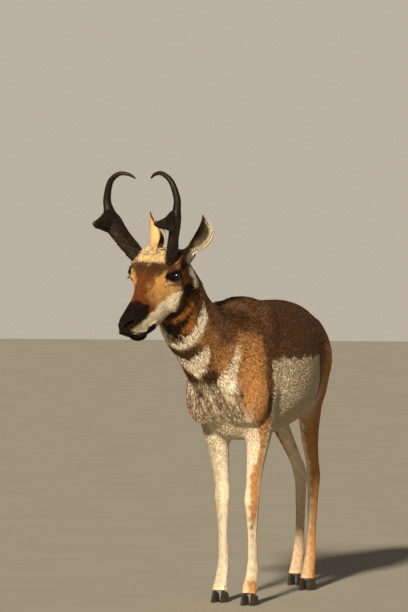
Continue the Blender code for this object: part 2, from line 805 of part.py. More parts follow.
def ear(side, material):
    """A cupped leaf: thin walls round a deep hollow, solid where it joins the head."""
    name = "left" if side > 0 else "right"
    place = upright_place(Vector(mirrored(EAR_FOOT, side)))
    rise = Vector(mirrored(EAR_RISE, side))
    axis = rise.normalized()
    turn = math.radians(EAR_CUP[name]) * side
    faces = Vector((math.cos(turn), math.sin(turn), 0))
    faces = (faces - axis * faces.dot(axis)).normalized()
    across = axis.cross(faces)
    rings = []
    for share in np.linspace(EAR_ROOT_SHARE, 1.0, 12):
        above = max(share, 0.0)
        leaf = math.sin(math.pi * (0.20 + 0.80 * above)) ** EAR_POINT[name] if above < 1 else 0.0
        slim = 0.50 + 0.50 * float(ramp(share, -0.25, 0.20))
        half = max(EAR_WIDTH[name] * leaf * slim, 0.0025)
        open_to = math.radians(110 - 45 * float(ramp(share, 0.35, 1.0)))
        wall = EAR_WALL + 0.020 * (1 - float(ramp(share, -0.10, 0.16)))
        wall = min(wall, half * 0.8)
        bow = EAR_BOW[name] * math.sin(math.pi * above)
        middle = rise * share + Vector((0, side, 0)) * bow
        outer = []
        inner = []
        for step in np.linspace(-open_to, open_to, 7):
            radial = -faces * math.cos(step) + across * math.sin(step)
            radius = half / math.sin(min(open_to, math.pi / 2))
            edge = 1 - 0.62 * abs(step / open_to) ** 3
            outer.append(middle + radial * radius)
            inner.append(middle + radial * (radius - wall * edge))
        rings.append(outer + inner[::-1])
    form = bmesh.new()
    add_loft(form, rings, fan=False)
    bmesh.ops.triangulate(form, faces=form.faces)
    bmesh.ops.transform(form, matrix=place, verts=form.verts)
    return node("ear_" + name, form, material)


def eye(side, material):
    form = bmesh.new()
    add_ball(form, mirrored(EYE_AT, side), (EYE_RADIUS,) * 3, steps=(12, 7))
    bmesh.ops.triangulate(form, faces=form.faces)
    return node("eye_left" if side > 0 else "eye_right", form, material)


def coronet(foot):
    """Plane between a leg and its hooves: a point, and a direction that points down and ahead."""
    length = 2 * HOOF_HALF_LENGTH
    slope = (HOOF_FRONT_TOP - HOOF_HEEL_TOP) / length
    point = foot + Vector((HOOF_AHEAD, 0, (HOOF_FRONT_TOP + HOOF_HEEL_TOP) / 2))
    return point, Vector((slope, 0, -1)).normalized()


def hoof(leg, way, material):
    """One pointed toe of horn: flat sole, steep outer wall, top cut along the coronet."""
    foot = foot_of(leg)
    point, down = coronet(foot)
    rings = []
    for share in (0.0, 0.14, 1.0):
        ring = []
        shrink = 1 - 0.26 * share - 0.10 * (share == 0.0)
        for angle in np.linspace(0, 2 * math.pi, 10, endpoint=False):
            ahead = math.cos(angle)
            narrow = (1 - 0.62 * max(ahead, 0) ** 2.2) * HOOF_HALF_WIDTH * shrink
            x = foot.x + HOOF_AHEAD + HOOF_HALF_LENGTH * (ahead * shrink - 0.20 * share)
            inward = -way * 0.0035 * max(ahead, 0)
            y = foot.y + way * HOOF_APART + inward + narrow * math.sin(angle)
            top = point.z - GAP + (x - point.x) * down.x / -down.z
            ring.append(Vector((x, y, top * share)))
        rings.append(ring)
    form = bmesh.new()
    add_loft(form, rings)
    bmesh.ops.triangulate(form, faces=form.faces)
    name = f"hoof_{leg}_{'outer' if way * foot.y > 0 else 'inner'}"
    return node(name, form, material)


def leg_block(leg, spare):
    """Solid that holds one leg and ends inside the torso; spare widens it all round."""
    rows = []
    for x, y, z, a, b in leg_rows(leg):
        rows.append((x, y, z, a * 1.10 + 0.012 + spare, b * 1.10 + 0.012 + spare))
    x, y, z, a, b = rows[0]
    top = (x, y, z + 0.045 + spare, a * 0.45, b * 0.45)
    foot = foot_of(leg)
    bottom = (foot.x + 0.03, foot.y, -0.02, 0.075, 0.055)
    ankle = (foot.x + 0.02, foot.y, 0.07, 0.060, 0.045)
    form = bmesh.new()
    add_loft(form, upright_rings([top, *rows[:-2], ankle, bottom], 20, 2))
    return node("block_" + leg, form)


def tail(material, draw):
    """Short tail of pale locks over a slim core."""
    form = bmesh.new()
    rows = through(TAIL, 2)
    across = Vector((0, 1, 0))
    ways = np.gradient(rows[:, :3], axis=0)
    rings = []
    for row, way in zip(rows, ways):
        out = across.cross(Vector(way).normalized())
        rings.append(oval(row[:3], across, out, row[4], row[3], row[3], 8, 2.0))
    add_loft(form, rings)
    made = node("tail", form, material)
    locks = []
    for index in range(TAIL_LOCKS):
        angle = 2 * math.pi * (index + 0.5) / TAIL_LOCKS
        at = 3 + 2 * (index % 2)
        ahead = Vector(ways[at]).normalized()
        out = (across * math.cos(angle) + across.cross(ahead) * math.sin(angle)).normalized()
        reach = abs(math.cos(angle)) * rows[at][4] + abs(math.sin(angle)) * rows[at][3]
        root = Vector(rows[at][:3]) + out * reach * 0.6
        length = draw.uniform(0.050, 0.062)
        rings = lock_rings(root, ahead, out, length, 0.0085, 0.0045, 0.005)
        locks.append(lock_object(f"tail_lock_{index}", rings))
    return combined(made, locks, "UNION")


def build():
    for old in list(bpy.data.objects):
        bpy.data.objects.remove(old)
    draw = random.Random(SEED)
    brown = finish("coat_brown", COAT_BROWN, 0.9)
    pale = finish("coat_pale", COAT_PALE, 0.9)
    rust = finish("coat_rust", FACE_RUST, 0.9)
    tan = finish("coat_tan", EAR_TAN, 0.9)
    black = finish("horn_black", HORN_BLACK, 0.45)
    wet = finish("eye_black", EYE_BLACK, 0.08)
    nail = finish("hoof_black", HOOF_BLACK, 0.55)

    body = body_form()
    head_fine, plain = head_form()
    here = head_place()
    cut_point = here @ HEAD_CUT[0]
    cut_way = (here.to_3x3() @ HEAD_CUT[1]).normalized()

    head = thinned(head_fine, "head", HEAD_DENSITY, plain)
    head.data.materials.append(rust)
    cut_away(head, HEAD_CUT[0] + HEAD_CUT[1] * GAP / 2, -HEAD_CUT[1])
    combined(head, crown(head, draw) + [lid_ring(side) for side in (1, -1)], "UNION")
    head.data.transform(here)
    eyes = [eye(side, wet) for side in (1, -1)]
    for item in eyes:
        item.data.transform(here)
    rooted = [horn(side, black) for side in (1, -1)] + [ear(side, tan) for side in (1, -1)]
    sockets = [grown(item, "socket_" + item.name, SOCKET_GAP) for item in rooted + eyes]
    combined(head, sockets, "DIFFERENCE", "MANIFOLD")
    drop(head_fine)

    neck = thinned(body, "neck", NECK_DENSITY)
    neck.data.materials.append(brown)
    cut_away(neck, cut_point - cut_way * GAP / 2, cut_way)
    cut_away(neck, NECK_CUT[0] + NECK_CUT[1] * GAP / 2, -NECK_CUT[1])
    largest(neck)
    combined(neck, mane(neck, draw), "UNION")

    torso = thinned(body, "torso", TORSO_DENSITY)
    torso.data.materials.append(brown)
    cut_away(torso, NECK_CUT[0] - NECK_CUT[1] * GAP / 2, NECK_CUT[1])
    combined(torso, [leg_block(leg, SOCKET_GAP) for leg in STANCE], "DIFFERENCE")
    end = tail(pale, draw)
    combined(end, [grown(torso, "swollen_torso")], "DIFFERENCE")

    for leg in STANCE:
        part = thinned(body, leg, LEG_DENSITY)
        part.data.materials.append(tan)
        combined(part, [leg_block(leg, 0.0)], "INTERSECT")
        point, down = coronet(foot_of(leg))
        cut_away(part, point, down)
        for way in (1, -1):
            hoof(leg, way, nail)
    drop(body)

    nodes = list(bpy.context.scene.collection.objects)
    every = np.vstack([points_of(item) for item in nodes])
    low = every.min(axis=0)
    high = every.max(axis=0)
    shift = Vector((-(low[0] + high[0]) / 2, -(low[1] + high[1]) / 2, -low[2]))
    buck = bpy.data.collections.new("pronghorn")
    bpy.context.scene.collection.children.link(buck)
    for item in nodes:
        item.data.transform(Matrix.Translation(shift))
        item.data.shade_smooth()
        item.data.set_sharp_from_angle(angle=math.radians(50))
        bpy.context.scene.collection.objects.unlink(item)
        buck.objects.link(item)


build()
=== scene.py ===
"""Looks of a life-size pronghorn buck: its hide, coat, eyes, ears, horns and hooves."""

import math

import bmesh
import bpy
import numpy as np
from mathutils import Matrix, Vector
from mathutils.bvhtree import BVHTree


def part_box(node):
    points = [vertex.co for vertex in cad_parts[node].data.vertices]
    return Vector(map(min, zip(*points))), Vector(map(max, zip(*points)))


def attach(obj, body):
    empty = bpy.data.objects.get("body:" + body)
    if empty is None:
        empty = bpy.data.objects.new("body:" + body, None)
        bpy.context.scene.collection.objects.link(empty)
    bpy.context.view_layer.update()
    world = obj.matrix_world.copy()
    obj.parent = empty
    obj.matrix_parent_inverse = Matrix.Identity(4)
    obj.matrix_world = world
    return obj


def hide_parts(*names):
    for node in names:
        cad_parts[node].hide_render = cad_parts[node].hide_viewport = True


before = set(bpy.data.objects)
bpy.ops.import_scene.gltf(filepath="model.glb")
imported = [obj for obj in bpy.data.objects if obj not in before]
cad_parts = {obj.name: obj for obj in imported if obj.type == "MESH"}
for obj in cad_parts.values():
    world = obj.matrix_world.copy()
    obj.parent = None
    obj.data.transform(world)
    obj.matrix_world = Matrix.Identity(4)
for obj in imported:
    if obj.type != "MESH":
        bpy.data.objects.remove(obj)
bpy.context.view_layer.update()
bpy.context.scene.view_settings.view_transform = "Standard"

# The hide of head, neck, trunk, legs and tail is one closed surface over the modelled flesh.
# It is fused from the solids, smoothed where they carry locks, and drawn in by the depth of the coat.

FLESH = ("head", "neck", "torso", "tail", "foreleg_left", "foreleg_right", "hindleg_left", "hindleg_right")
SKIN_GRAIN = 0.0024
SKIN_FACES = 90000
# Solids swell by this much before they fuse, so that their thin cuts close
CUT_CLOSING = 0.0009

# The head hangs from this point of the flesh, turned to the animal's right and dropped
HEAD_AT = Vector((0.612, -0.080, 0.985))
HEAD_TURN = math.radians(-15.5)
HEAD_ROLL = math.radians(-4)
HEAD_DROP = math.radians(40)
EYE_AT = Vector((0.088, 0.056, 0.027))
# The hide between the horns is no higher than this, so that its hair makes a low dome
CROWN_TOP = 1.018
CROWN_ROUNDING = 1.6
CROWN_EASE = 0.005
KNEE_HEIGHT = 0.302
# Share of the smoothing that the whole hide takes, and how often it and the crown are smoothed
EVEN_SMOOTHING = 0.12
SMOOTHING_ROUNDS = 40
CROWN_ROUNDS = 160

# Middle line of the neck, from the trunk to the skull
NECK_LINE = (
    (0.160, 0.000, 0.695),
    (0.300, -0.012, 0.715),
    (0.415, -0.043, 0.765),
    (0.508, -0.068, 0.828),
    (0.572, -0.069, 0.900),
    (0.604, -0.076, 0.968),
)


def head_place():
    """The head's frame, X to the nose, before the model is centred."""
    turn = Matrix.Rotation(HEAD_TURN, 4, "Z") @ Matrix.Rotation(HEAD_ROLL, 4, "X")
    return Matrix.Translation(HEAD_AT) @ turn @ Matrix.Rotation(HEAD_DROP, 4, "Y")


def middle_of(node):
    low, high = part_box(node)
    return (low + high) / 2


def ramp(values, start, end):
    """0 before start, 1 after end, smooth between them."""
    t = np.clip((np.asarray(values, float) - start) / (end - start), 0, 1)
    return t * t * (3 - 2 * t)


def fall(values, start, end):
    """1 before start, 0 after end, smooth between them."""
    return 1 - ramp(values, start, end)


def hill(values, middle, width):
    """1 at the middle, falling to nothing a few widths away."""
    return np.exp(-(((np.asarray(values, float) - middle) / width) ** 2))


# The model was centred on its box, so the eyes tell how far it was moved
SHIFT = (middle_of("eye_left") + middle_of("eye_right")) / 2 - head_place() @ Vector((EYE_AT.x, 0, EYE_AT.z))
HEAD_HERE = Matrix.Translation(SHIFT) @ head_place()


def in_body(points):
    """Points in the frame of the trunk, X ahead from the middle of the barrel."""
    return np.asarray(points, float) - np.array(SHIFT)


def in_head(points):
    """Points in the head's frame."""
    back = np.array(HEAD_HERE.inverted())
    return np.asarray(points, float) @ back[:3, :3].T + back[:3, 3]


def along_neck(points):
    """For each point, how far up the neck it lies, the angle from nape to throat, and the neck's way."""
    line = np.array(NECK_LINE)
    body = in_body(points)
    nearest = np.full(len(body), np.inf)
    height = np.zeros(len(body))
    angle = np.zeros(len(body))
    way = np.zeros((len(body), 3))
    walked = 0.0
    for index, (a, b) in enumerate(zip(line, line[1:])):
        run = b - a
        length = np.linalg.norm(run)
        share = (body - a) @ run / length**2
        share = np.clip(share, -9 if index == 0 else 0, 9 if index == len(line) - 2 else 1)
        offset = body - (a + share[:, None] * run)
        distance = np.linalg.norm(offset, axis=1)
        side = np.cross((0, 0, 1), run / length)
        side = side / np.linalg.norm(side)
        nape = np.cross(run / length, side)
        closer = distance < nearest
        nearest = np.where(closer, distance, nearest)
        height = np.where(closer, walked + share * length, height)
        angle = np.where(closer, np.degrees(np.arctan2(np.abs(offset @ side), offset @ nape)), angle)
        way = np.where(closer[:, None], run / length, way)
        walked += length
    return height, angle, way


def linked(name, data):
    """A new object of the scene with its data."""
    made = bpy.data.objects.new(name, data)
    bpy.context.scene.collection.objects.link(made)
    return made


def applied(item):
    """Turns an object's modifiers into its mesh."""
    bpy.context.view_layer.update()
    graph = bpy.context.evaluated_depsgraph_get()
    mesh = bpy.data.meshes.new_from_object(item.evaluated_get(graph))
    item.modifiers.clear()
    item.data = mesh
    return item


def read(mesh, key="co", source="vertices"):
    """Places, normals or the like of a mesh as an array of rows."""
    rows = getattr(mesh, source)
    found = np.empty(len(rows) * 3, np.float32)
    rows.foreach_get(key, found)
    return found.reshape(-1, 3).astype(float)


def place(mesh, points):
    mesh.vertices.foreach_set("co", np.asarray(points, np.float32).ravel())
    mesh.update()


def softened(item, weights, rounds):
    """Smooths an object as strongly as the weight of each point says, in tenths."""
    group = item.vertex_groups.new(name="soft")
    steps = np.round(np.asarray(weights) * 10).astype(int)
    for step in range(1, 11):
        group.add(np.flatnonzero(steps == step).tolist(), step / 10, "REPLACE")
    change = item.modifiers.new("soften", "SMOOTH")
    change.factor = 0.5
    change.iterations = rounds
    change.vertex_group = group.name
    applied(item)
    item.vertex_groups.clear()
    return item


def fused_flesh():
    """One even surface over all the solids of flesh."""
    form = bmesh.new()
    for name in FLESH:
        solid = bmesh.new()
        solid.from_mesh(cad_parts[name].data)
        bmesh.ops.remove_doubles(solid, verts=solid.verts, dist=1e-6)
        solid.normal_update()
        for vert in solid.verts:
            vert.co += vert.normal * CUT_CLOSING
        mesh = bpy.data.meshes.new(name + "_flesh")
        solid.to_mesh(mesh)
        solid.free()
        form.from_mesh(mesh)
        bpy.data.meshes.remove(mesh)
    mesh = bpy.data.meshes.new("skin")
    form.to_mesh(mesh)
    form.free()
    made = linked("skin", mesh)
    change = made.modifiers.new("fuse", "REMESH")
    change.mode = "VOXEL"
    change.voxel_size = SKIN_GRAIN
    return applied(made)


def coat_depth(points):
    """How deep the hide lies under the outer shape of the solids."""
    head = in_head(points)
    body = in_body(points)
    height, angle, _ = along_neck(points)
    face = ramp(head[:, 0], -0.03, 0.03) * ramp(head[:, 2], -0.16, -0.10) * ramp(height, 0.40, 0.47)
    depth = 0.0062 + 0.0030 * ramp(-body[:, 0], 0.22, 0.40) * ramp(body[:, 2], 0.55, 0.65)
    depth = depth + (0.0030 - depth) * fall(body[:, 2], 0.36, 0.52)
    depth = depth + 0.0050 * hill(angle, 0, 35) * ramp(height, 0.05, 0.20) * (1 - face)
    fine = 0.0018 + 0.0135 * hill(head[:, 0], 0.045, 0.040) * ramp(head[:, 2], 0.050, 0.066)
    return depth + (fine - depth) * face


skin = fused_flesh()
points = read(skin.data)
head = in_head(points)
body = in_body(points)
height, angle, _ = along_neck(points)
maned = hill(angle, 0, 30) * ramp(height, 0.08, 0.20) * fall(head[:, 0], -0.02, 0.03)
crowned = hill(head[:, 0], 0.055, 0.045) * ramp(head[:, 2], 0.050, 0.062)
crowned = crowned * fall(np.abs(head[:, 1]), 0.030, 0.045)
tailed = ramp(-body[:, 0], 0.455, 0.475) * ramp(body[:, 2], 0.60, 0.68)
kneed = 0.8 * hill(body[:, 2], KNEE_HEIGHT, 0.025)
softened(skin, np.clip(EVEN_SMOOTHING + maned + crowned + tailed + kneed, 0, 1), SMOOTHING_ROUNDS)
softened(skin, np.clip(crowned * 1.5, 0, 1), CROWN_ROUNDS)
change = skin.modifiers.new("thin", "DECIMATE")
change.ratio = SKIN_FACES / sum(len(face.vertices) - 2 for face in skin.data.polygons)
applied(skin)
points = read(skin.data)
points = points - read(skin.data, "vector", "vertex_normals") * coat_depth(points)[:, None]
head = in_head(points)
over = (points[:, 2] - CROWN_TOP + CROWN_ROUNDING * head[:, 1] ** 2) / CROWN_EASE
on_top = ramp(head[:, 0], -0.03, 0.0) * fall(head[:, 0], 0.105, 0.125)
points[:, 2] -= CROWN_EASE * np.logaddexp(0, over) * on_top
place(skin.data, points)
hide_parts(*FLESH)
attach(skin, "root")

# Lids, lips, nostrils and the folds of the face are pressed into the hide of the head.
# The mesh is made finer there first, and each line is laid on the surface before it is pressed.

EYE_RADIUS = 0.0240
EYE_FACES = Vector((0.40, 0.90, 0.18)).normalized()
EYE_LONG = 0.0225
EYE_TALL = 0.0130
LID_THICK = 0.0016
# How far the hide of the socket lies behind the eyeball
SOCKET_DEPTH = 0.007
# The hide's chin is this much wider than that of the solid
CHIN_WIDENING = 0.55
MOUTH_LINE = (
    (0.301, 0.000, -0.013),
    (0.294, 0.014, -0.017),
    (0.281, 0.023, -0.026),
    (0.262, 0.028, -0.037),
    (0.236, 0.030, -0.048),
    (0.212, 0.029, -0.057),
    (0.198, 0.029, -0.062),
)
NOSTRIL_LINE = ((0.295, 0.009, 0.008), (0.284, 0.017, 0.012), (0.271, 0.022, 0.008))
LIP_CLEFT = ((0.304, 0.0, 0.004), (0.301, 0.0, -0.012))
TEAR_LINE = ((0.112, 0.062, 0.036), (0.122, 0.058, 0.028), (0.132, 0.054, 0.018))
CHEEK_FOLD = ((0.191, 0.033, -0.021), (0.200, 0.033, -0.031), (0.204, 0.030, -0.042), (0.207, 0.031, -0.051))


def through(stations, per_span):
    """Rows of a smooth curve through the stations, with per_span rows from each to the next."""
    rows = np.array(stations, float)
    padded = np.vstack([2 * rows[0] - rows[1], rows, 2 * rows[-1] - rows[-2]])
    found = []
    for a, b, c, d in zip(padded, padded[1:], padded[2:], padded[3:]):
        for t in np.arange(per_span) / per_span:
            bend = (2 * a - 5 * b + 4 * c - d) * t**2 + (3 * b - a - 3 * c + d) * t**3
            found.append(0.5 * (2 * b + (c - a) * t + bend))
    return np.array([*found, rows[-1]])


def distance_to(points, line):
    """Distance of each point from a line of a few straight runs."""
    best = np.full(len(points), np.inf)
    for a, b in zip(np.array(line), np.array(line)[1:]):
        run = b - a
        t = np.clip((points - a) @ run / (run @ run), 0, 1)
        best = np.minimum(best, np.linalg.norm(points - (a + t[:, None] * run), axis=1))
    return best


def eye_axes():
    """Along the opening of the left eye, up across it, and out of it."""
    along = Vector((0.82, 0, 0.50))
    along = (along - EYE_FACES * along.dot(EYE_FACES)).normalized()
    return np.array(along), np.array(EYE_FACES.cross(along)), np.array(EYE_FACES)


def eye_ring(half):
    """How far out of the eye's opening points lie, 1 at its rim, and their places along, up and out."""
    along, up, out = eye_axes()
    offset = half - np.array(EYE_AT)
    u = offset @ along
    v = offset @ up
    # the opening narrows to a point at both corners
    narrow = 1 - 0.30 * np.clip(np.abs(u) / EYE_LONG, 0, 1.4) ** 2
    return np.hypot(u / EYE_LONG, v / (EYE_TALL * np.maximum(narrow, 0.3))), u, v, offset @ out


def left_half(points):
    """Points of both halves of the head folded onto the left one, and the signs that unfold them."""
    signs = np.where(points[:, 1] < 0, -1.0, 1.0)[:, None] * (0, 1, 0) + (1, 0, 1)
    return points * signs, signs


def refined(item, near):
    """Halves the edges between the points where near is true."""
    form = bmesh.new()
    form.from_mesh(item.data)
    edges = [edge for edge in form.edges if near[edge.verts[0].index] and near[edge.verts[1].index]]
    bmesh.ops.subdivide_edges(form, edges=edges, cuts=1, use_grid_fill=True)
    bmesh.ops.triangulate(form, faces=form.faces)
    form.to_mesh(item.data)
    form.free()
    return item


def hide_surface(moved=Matrix()):
    """The hide, moved by a matrix, for laying points on it."""
    form = bmesh.new()
    form.from_mesh(skin.data)
    bmesh.ops.transform(form, matrix=moved, verts=form.verts)
    tree = BVHTree.FromBMesh(form)
    form.free()
    return tree


def press_face():
    """Presses the lines of the face into the hide, widens its chin and fits the lids to the eyeballs."""
    points = in_head(read(skin.data))
    turn = np.array(HEAD_HERE.inverted())[:3, :3]
    half, signs = left_half(points)
    normals = read(skin.data, "vector", "vertex_normals") @ turn.T * signs
    tree = hide_surface(HEAD_HERE.inverted())
    lines = {}
    for name, line in (("mouth", MOUTH_LINE), ("nostril", NOSTRIL_LINE), ("cleft", LIP_CLEFT),
                       ("tear", TEAR_LINE), ("fold", CHEEK_FOLD)):
        lines[name] = distance_to(half, [tree.find_nearest(Vector(p))[0] for p in through(line, 5)])
    push = -0.0042 * hill(lines["mouth"], 0, 0.0022) + 0.0018 * hill(lines["mouth"], 0.0060, 0.0035)
    push = push - 0.0090 * hill(lines["nostril"], 0, 0.0032)
    push = push + 0.0016 * hill(lines["nostril"], 0.0075, 0.0030)
    push = push - 0.0022 * hill(lines["cleft"], 0, 0.0022)
    push = push - 0.0014 * hill(lines["tear"], 0, 0.0030) - 0.0012 * hill(lines["fold"], 0, 0.0035)
    half = half + normals * push[:, None]
    chin = ramp(half[:, 0], 0.225, 0.270) * ramp(-half[:, 2], 0.020, 0.034) * ramp(half[:, 2], -0.12, -0.09)
    half[:, 1] *= 1 + CHIN_WIDENING * chin
    ring, u, v, h = eye_ring(half)
    _, _, out = eye_axes()
    ball = np.sqrt(np.maximum(EYE_RADIUS**2 - u**2 - v**2, 0.0))
    lid = ball + LID_THICK + 0.0010 * (v > 0)
    target = np.where(ring < 0.97, ball - SOCKET_DEPTH, lid)
    target = np.where((ball <= 0) & (ring >= 1), h, target)
    weight = np.where(h > 0, fall(ring, 1.12, 1.75), 0.0)
    half = half + out * ((target - h) * weight)[:, None]
    fold = -0.0016 * hill(ring, 1.42, 0.10) * ramp(v, 0.002, 0.008)
    fold = fold + 0.0020 * hill(ring, 1.95, 0.25) * ramp(v, 0.002, 0.010)
    fold = fold - 0.0010 * hill(ring, 1.50, 0.10) * ramp(-v, 0.002, 0.008)
    half = half + out * np.where(h > 0, fold, 0.0)[:, None]
    moved = half * signs
    here = np.array(HEAD_HERE)
    place(skin.data, moved @ here[:3, :3].T + here[:3, 3])


for reach in (1.0, 0.72):
    half, _ = left_half(in_head(read(skin.data)))
    by_eye = np.linalg.norm(half - np.array(EYE_AT), axis=1) < 0.038 * reach
    by_mouth = distance_to(half, MOUTH_LINE) < 0.012 * reach
    by_nose = distance_to(half, NOSTRIL_LINE) < 0.016 * reach
    refined(skin, by_eye | by_mouth | by_nose)
press_face()

# Markings of the coat: rust face with black nose, cream crown, white cheeks, throat bands, flanks and rump.
# One function colours both the hide and the hairs; its borders wander as hair tips do. Some of its colours
# are painted shade.

# Brown of the back and neck: the coat's own brown, darkened as painted shade
SHADED_BROWN = (0.145, 0.066, 0.027)
NAPE_BROWN = (0.090, 0.038, 0.014)
TAN = (0.510, 0.240, 0.075)
SADDLE = (0.400, 0.180, 0.058)
RUST = (0.195, 0.056, 0.009)
BRIGHT_RUST = (0.420, 0.145, 0.022)
PALE_ORANGE = (0.620, 0.340, 0.095)
UNDER_EYE_TAN = (0.800, 0.500, 0.220)
CREAM = (0.840, 0.640, 0.320)
WHITE = (0.880, 0.770, 0.580)
# White dimmed as painted shade for the flanks and belly; the ruff behind the ear takes it as its own pale
# grey
PALE_GREY_AND_SHADED_WHITE = (0.600, 0.500, 0.350)
GREY = (0.330, 0.250, 0.155)
BLACK_BROWN = (0.014, 0.0065, 0.0030)
UMBER = (0.095, 0.040, 0.013)
DARK_RUST = (0.050, 0.020, 0.006)

# Outlines of the head's markings seen from its side: ahead, up
NOSE_PATCH = (
    (0.216, 0.060), (0.213, 0.032), (0.206, 0.026), (0.199, 0.014), (0.192, 0.002), (0.199, -0.006),
    (0.207, -0.014), (0.217, -0.016), (0.229, -0.017), (0.256, -0.010), (0.278, -0.006),
    (0.288, -0.006), (0.292, -0.022), (0.340, -0.026), (0.340, 0.060),
)
WHITE_CHEEK = (
    (0.340, -0.006), (0.256, -0.006), (0.229, -0.013), (0.207, -0.018), (0.178, -0.024),
    (0.153, -0.022), (0.129, -0.018), (0.103, -0.023), (0.081, -0.036), (0.084, -0.042),
    (0.099, -0.044), (0.109, -0.055), (0.121, -0.075), (0.116, -0.098), (0.124, -0.118),
    (0.128, -0.150), (0.340, -0.150),
)
DARK_CHIN = (
    (0.340, -0.013), (0.300, -0.012), (0.294, -0.017), (0.281, -0.026), (0.262, -0.037),
    (0.236, -0.048), (0.212, -0.057), (0.196, -0.063), (0.190, -0.074), (0.186, -0.092),
    (0.188, -0.150), (0.340, -0.150),
)
CHEEK_PATCH = (
    (0.072, -0.032), (0.050, -0.036), (0.034, -0.052), (0.026, -0.064), (0.045, -0.083),
    (0.061, -0.074), (0.079, -0.058), (0.082, -0.044),
)
RUFF_PATCH = (
    (0.004, 0.000), (-0.015, -0.030), (-0.005, -0.060), (0.020, -0.078), (0.030, -0.066),
    (0.018, -0.045), (0.010, -0.020),
)
BEHIND_EYE = (
    (0.021, 0.016), (0.001, 0.000), (0.033, -0.036), (0.056, -0.016),
)
UNDER_EYE = (
    (0.122, 0.027), (0.072, 0.004), (0.070, -0.010), (0.080, -0.032), (0.117, -0.014),
)
BROW = (
    (0.079, 0.067), (0.054, 0.046), (0.050, 0.016), (0.086, 0.048),
)
JAW_STRIPE = (
    (0.121, -0.146), (0.117, -0.137), (0.109, -0.128), (0.095, -0.116), (0.083, -0.106),
    (0.068, -0.097),
)
# Outlines on the neck rolled flat: height up the neck, degrees from the middle of the throat
THROAT_DEGREE = 0.0016
UPPER_BAND = (
    (0.450, 76), (0.401, 75), (0.384, 69), (0.374, 53), (0.368, 38), (0.363, 25), (0.360, 12),
    (0.355, 0), (0.355, -20), (0.386, -20), (0.386, 0), (0.388, 18), (0.397, 27), (0.410, 36),
    (0.424, 46), (0.440, 60),
)
LOWER_BAND = (
    (0.322, 44), (0.305, 42), (0.291, 37), (0.273, 25), (0.271, 19), (0.264, 10), (0.252, 0),
    (0.252, -20), (0.304, -20), (0.304, 0), (0.310, 8), (0.318, 15), (0.324, 26), (0.326, 35),
)
CHEST_STRIPE = (
    (0.229, 90), (0.231, 74), (0.227, 59), (0.229, 43), (0.230, 29), (0.218, 20), (0.186, 20),
    (0.182, 30), (0.192, 42), (0.198, 52), (0.204, 64), (0.217, 77),
)
CHEST_WEDGE = (
    (0.290, 52), (0.276, 40), (0.262, 32), (0.240, 27), (0.217, 22), (0.200, 30), (0.200, 60),
    (0.225, 82), (0.262, 80), (0.285, 66),
)
BROWN_PATCH = (
    (0.270, 10), (0.272, 20), (0.262, 30), (0.238, 28), (0.214, 22), (0.220, 10), (0.238, 2),
    (0.258, 6),
)
# Black-brown under the jaw, spread over the throat where the head's shadow falls: partly painted shadow
SHADOWED_UNDER_JAW = (
    (0.384, -20), (0.384, 14), (0.396, 20), (0.424, 22), (0.440, 32), (0.466, 40), (0.480, 40),
    (0.480, -20),
)
ORANGE_PATCH = (
    (0.394, 6), (0.408, 9), (0.424, 17), (0.438, 25), (0.448, 32), (0.466, 37), (0.480, 40),
    (0.480, 47), (0.463, 45), (0.434, 39), (0.406, 31), (0.394, 20),
)


def wander(points, grain, seed):
    """A smooth random field of about -1 to 1 that changes over the grain's length."""
    draw = np.random.default_rng(seed)
    total = np.zeros(len(points))
    for size in (1.0, 0.62, 0.37):
        for _ in range(5):
            way = draw.normal(size=3)
            way = way / np.linalg.norm(way)
            bent = points @ way / (grain * size) + draw.uniform(0, 9)
            total += size * np.sin(bent * 2 * math.pi + 1.5 * np.sin(points @ way[::-1] / grain))
    return total / 3.2


def laid_over(colours, colour, share):
    """Paints a colour over others by each point's share of it."""
    share = np.clip(share, 0, 1)[:, None]
    return colours * (1 - share) + np.array(colour) * share


class Paint:
    """Colours of many points, which further colours are laid over."""

    def __init__(self, colour, count):
        self.tones = np.tile(colour, (count, 1))

    def lay(self, colour, share):
        self.tones = laid_over(self.tones, colour, share)


def inside(distance, soft):
    """1 well inside a border, 0 well outside it, and soft between."""
    return ramp(distance, -soft, soft)


def within(places, outline):
    """How far inside a closed outline each flat place lies, less than 0 outside it."""
    ring = np.array(outline, float)
    nearest = np.full(len(places), np.inf)
    held = np.zeros(len(places), bool)
    for a, b in zip(ring, np.roll(ring, -1, axis=0)):
        run = b - a
        offset = places - a
        share = np.clip(offset @ run / (run @ run), 0, 1)
        nearest = np.minimum(nearest, np.linalg.norm(offset - share[:, None] * run, axis=1))
        crossed = (a[1] > places[:, 1]) != (b[1] > places[:, 1])
        held ^= crossed & (offset[:, 0] * run[1] < run[0] * offset[:, 1]) ^ (crossed & (run[1] < 0))
    return np.where(held, nearest, -nearest)


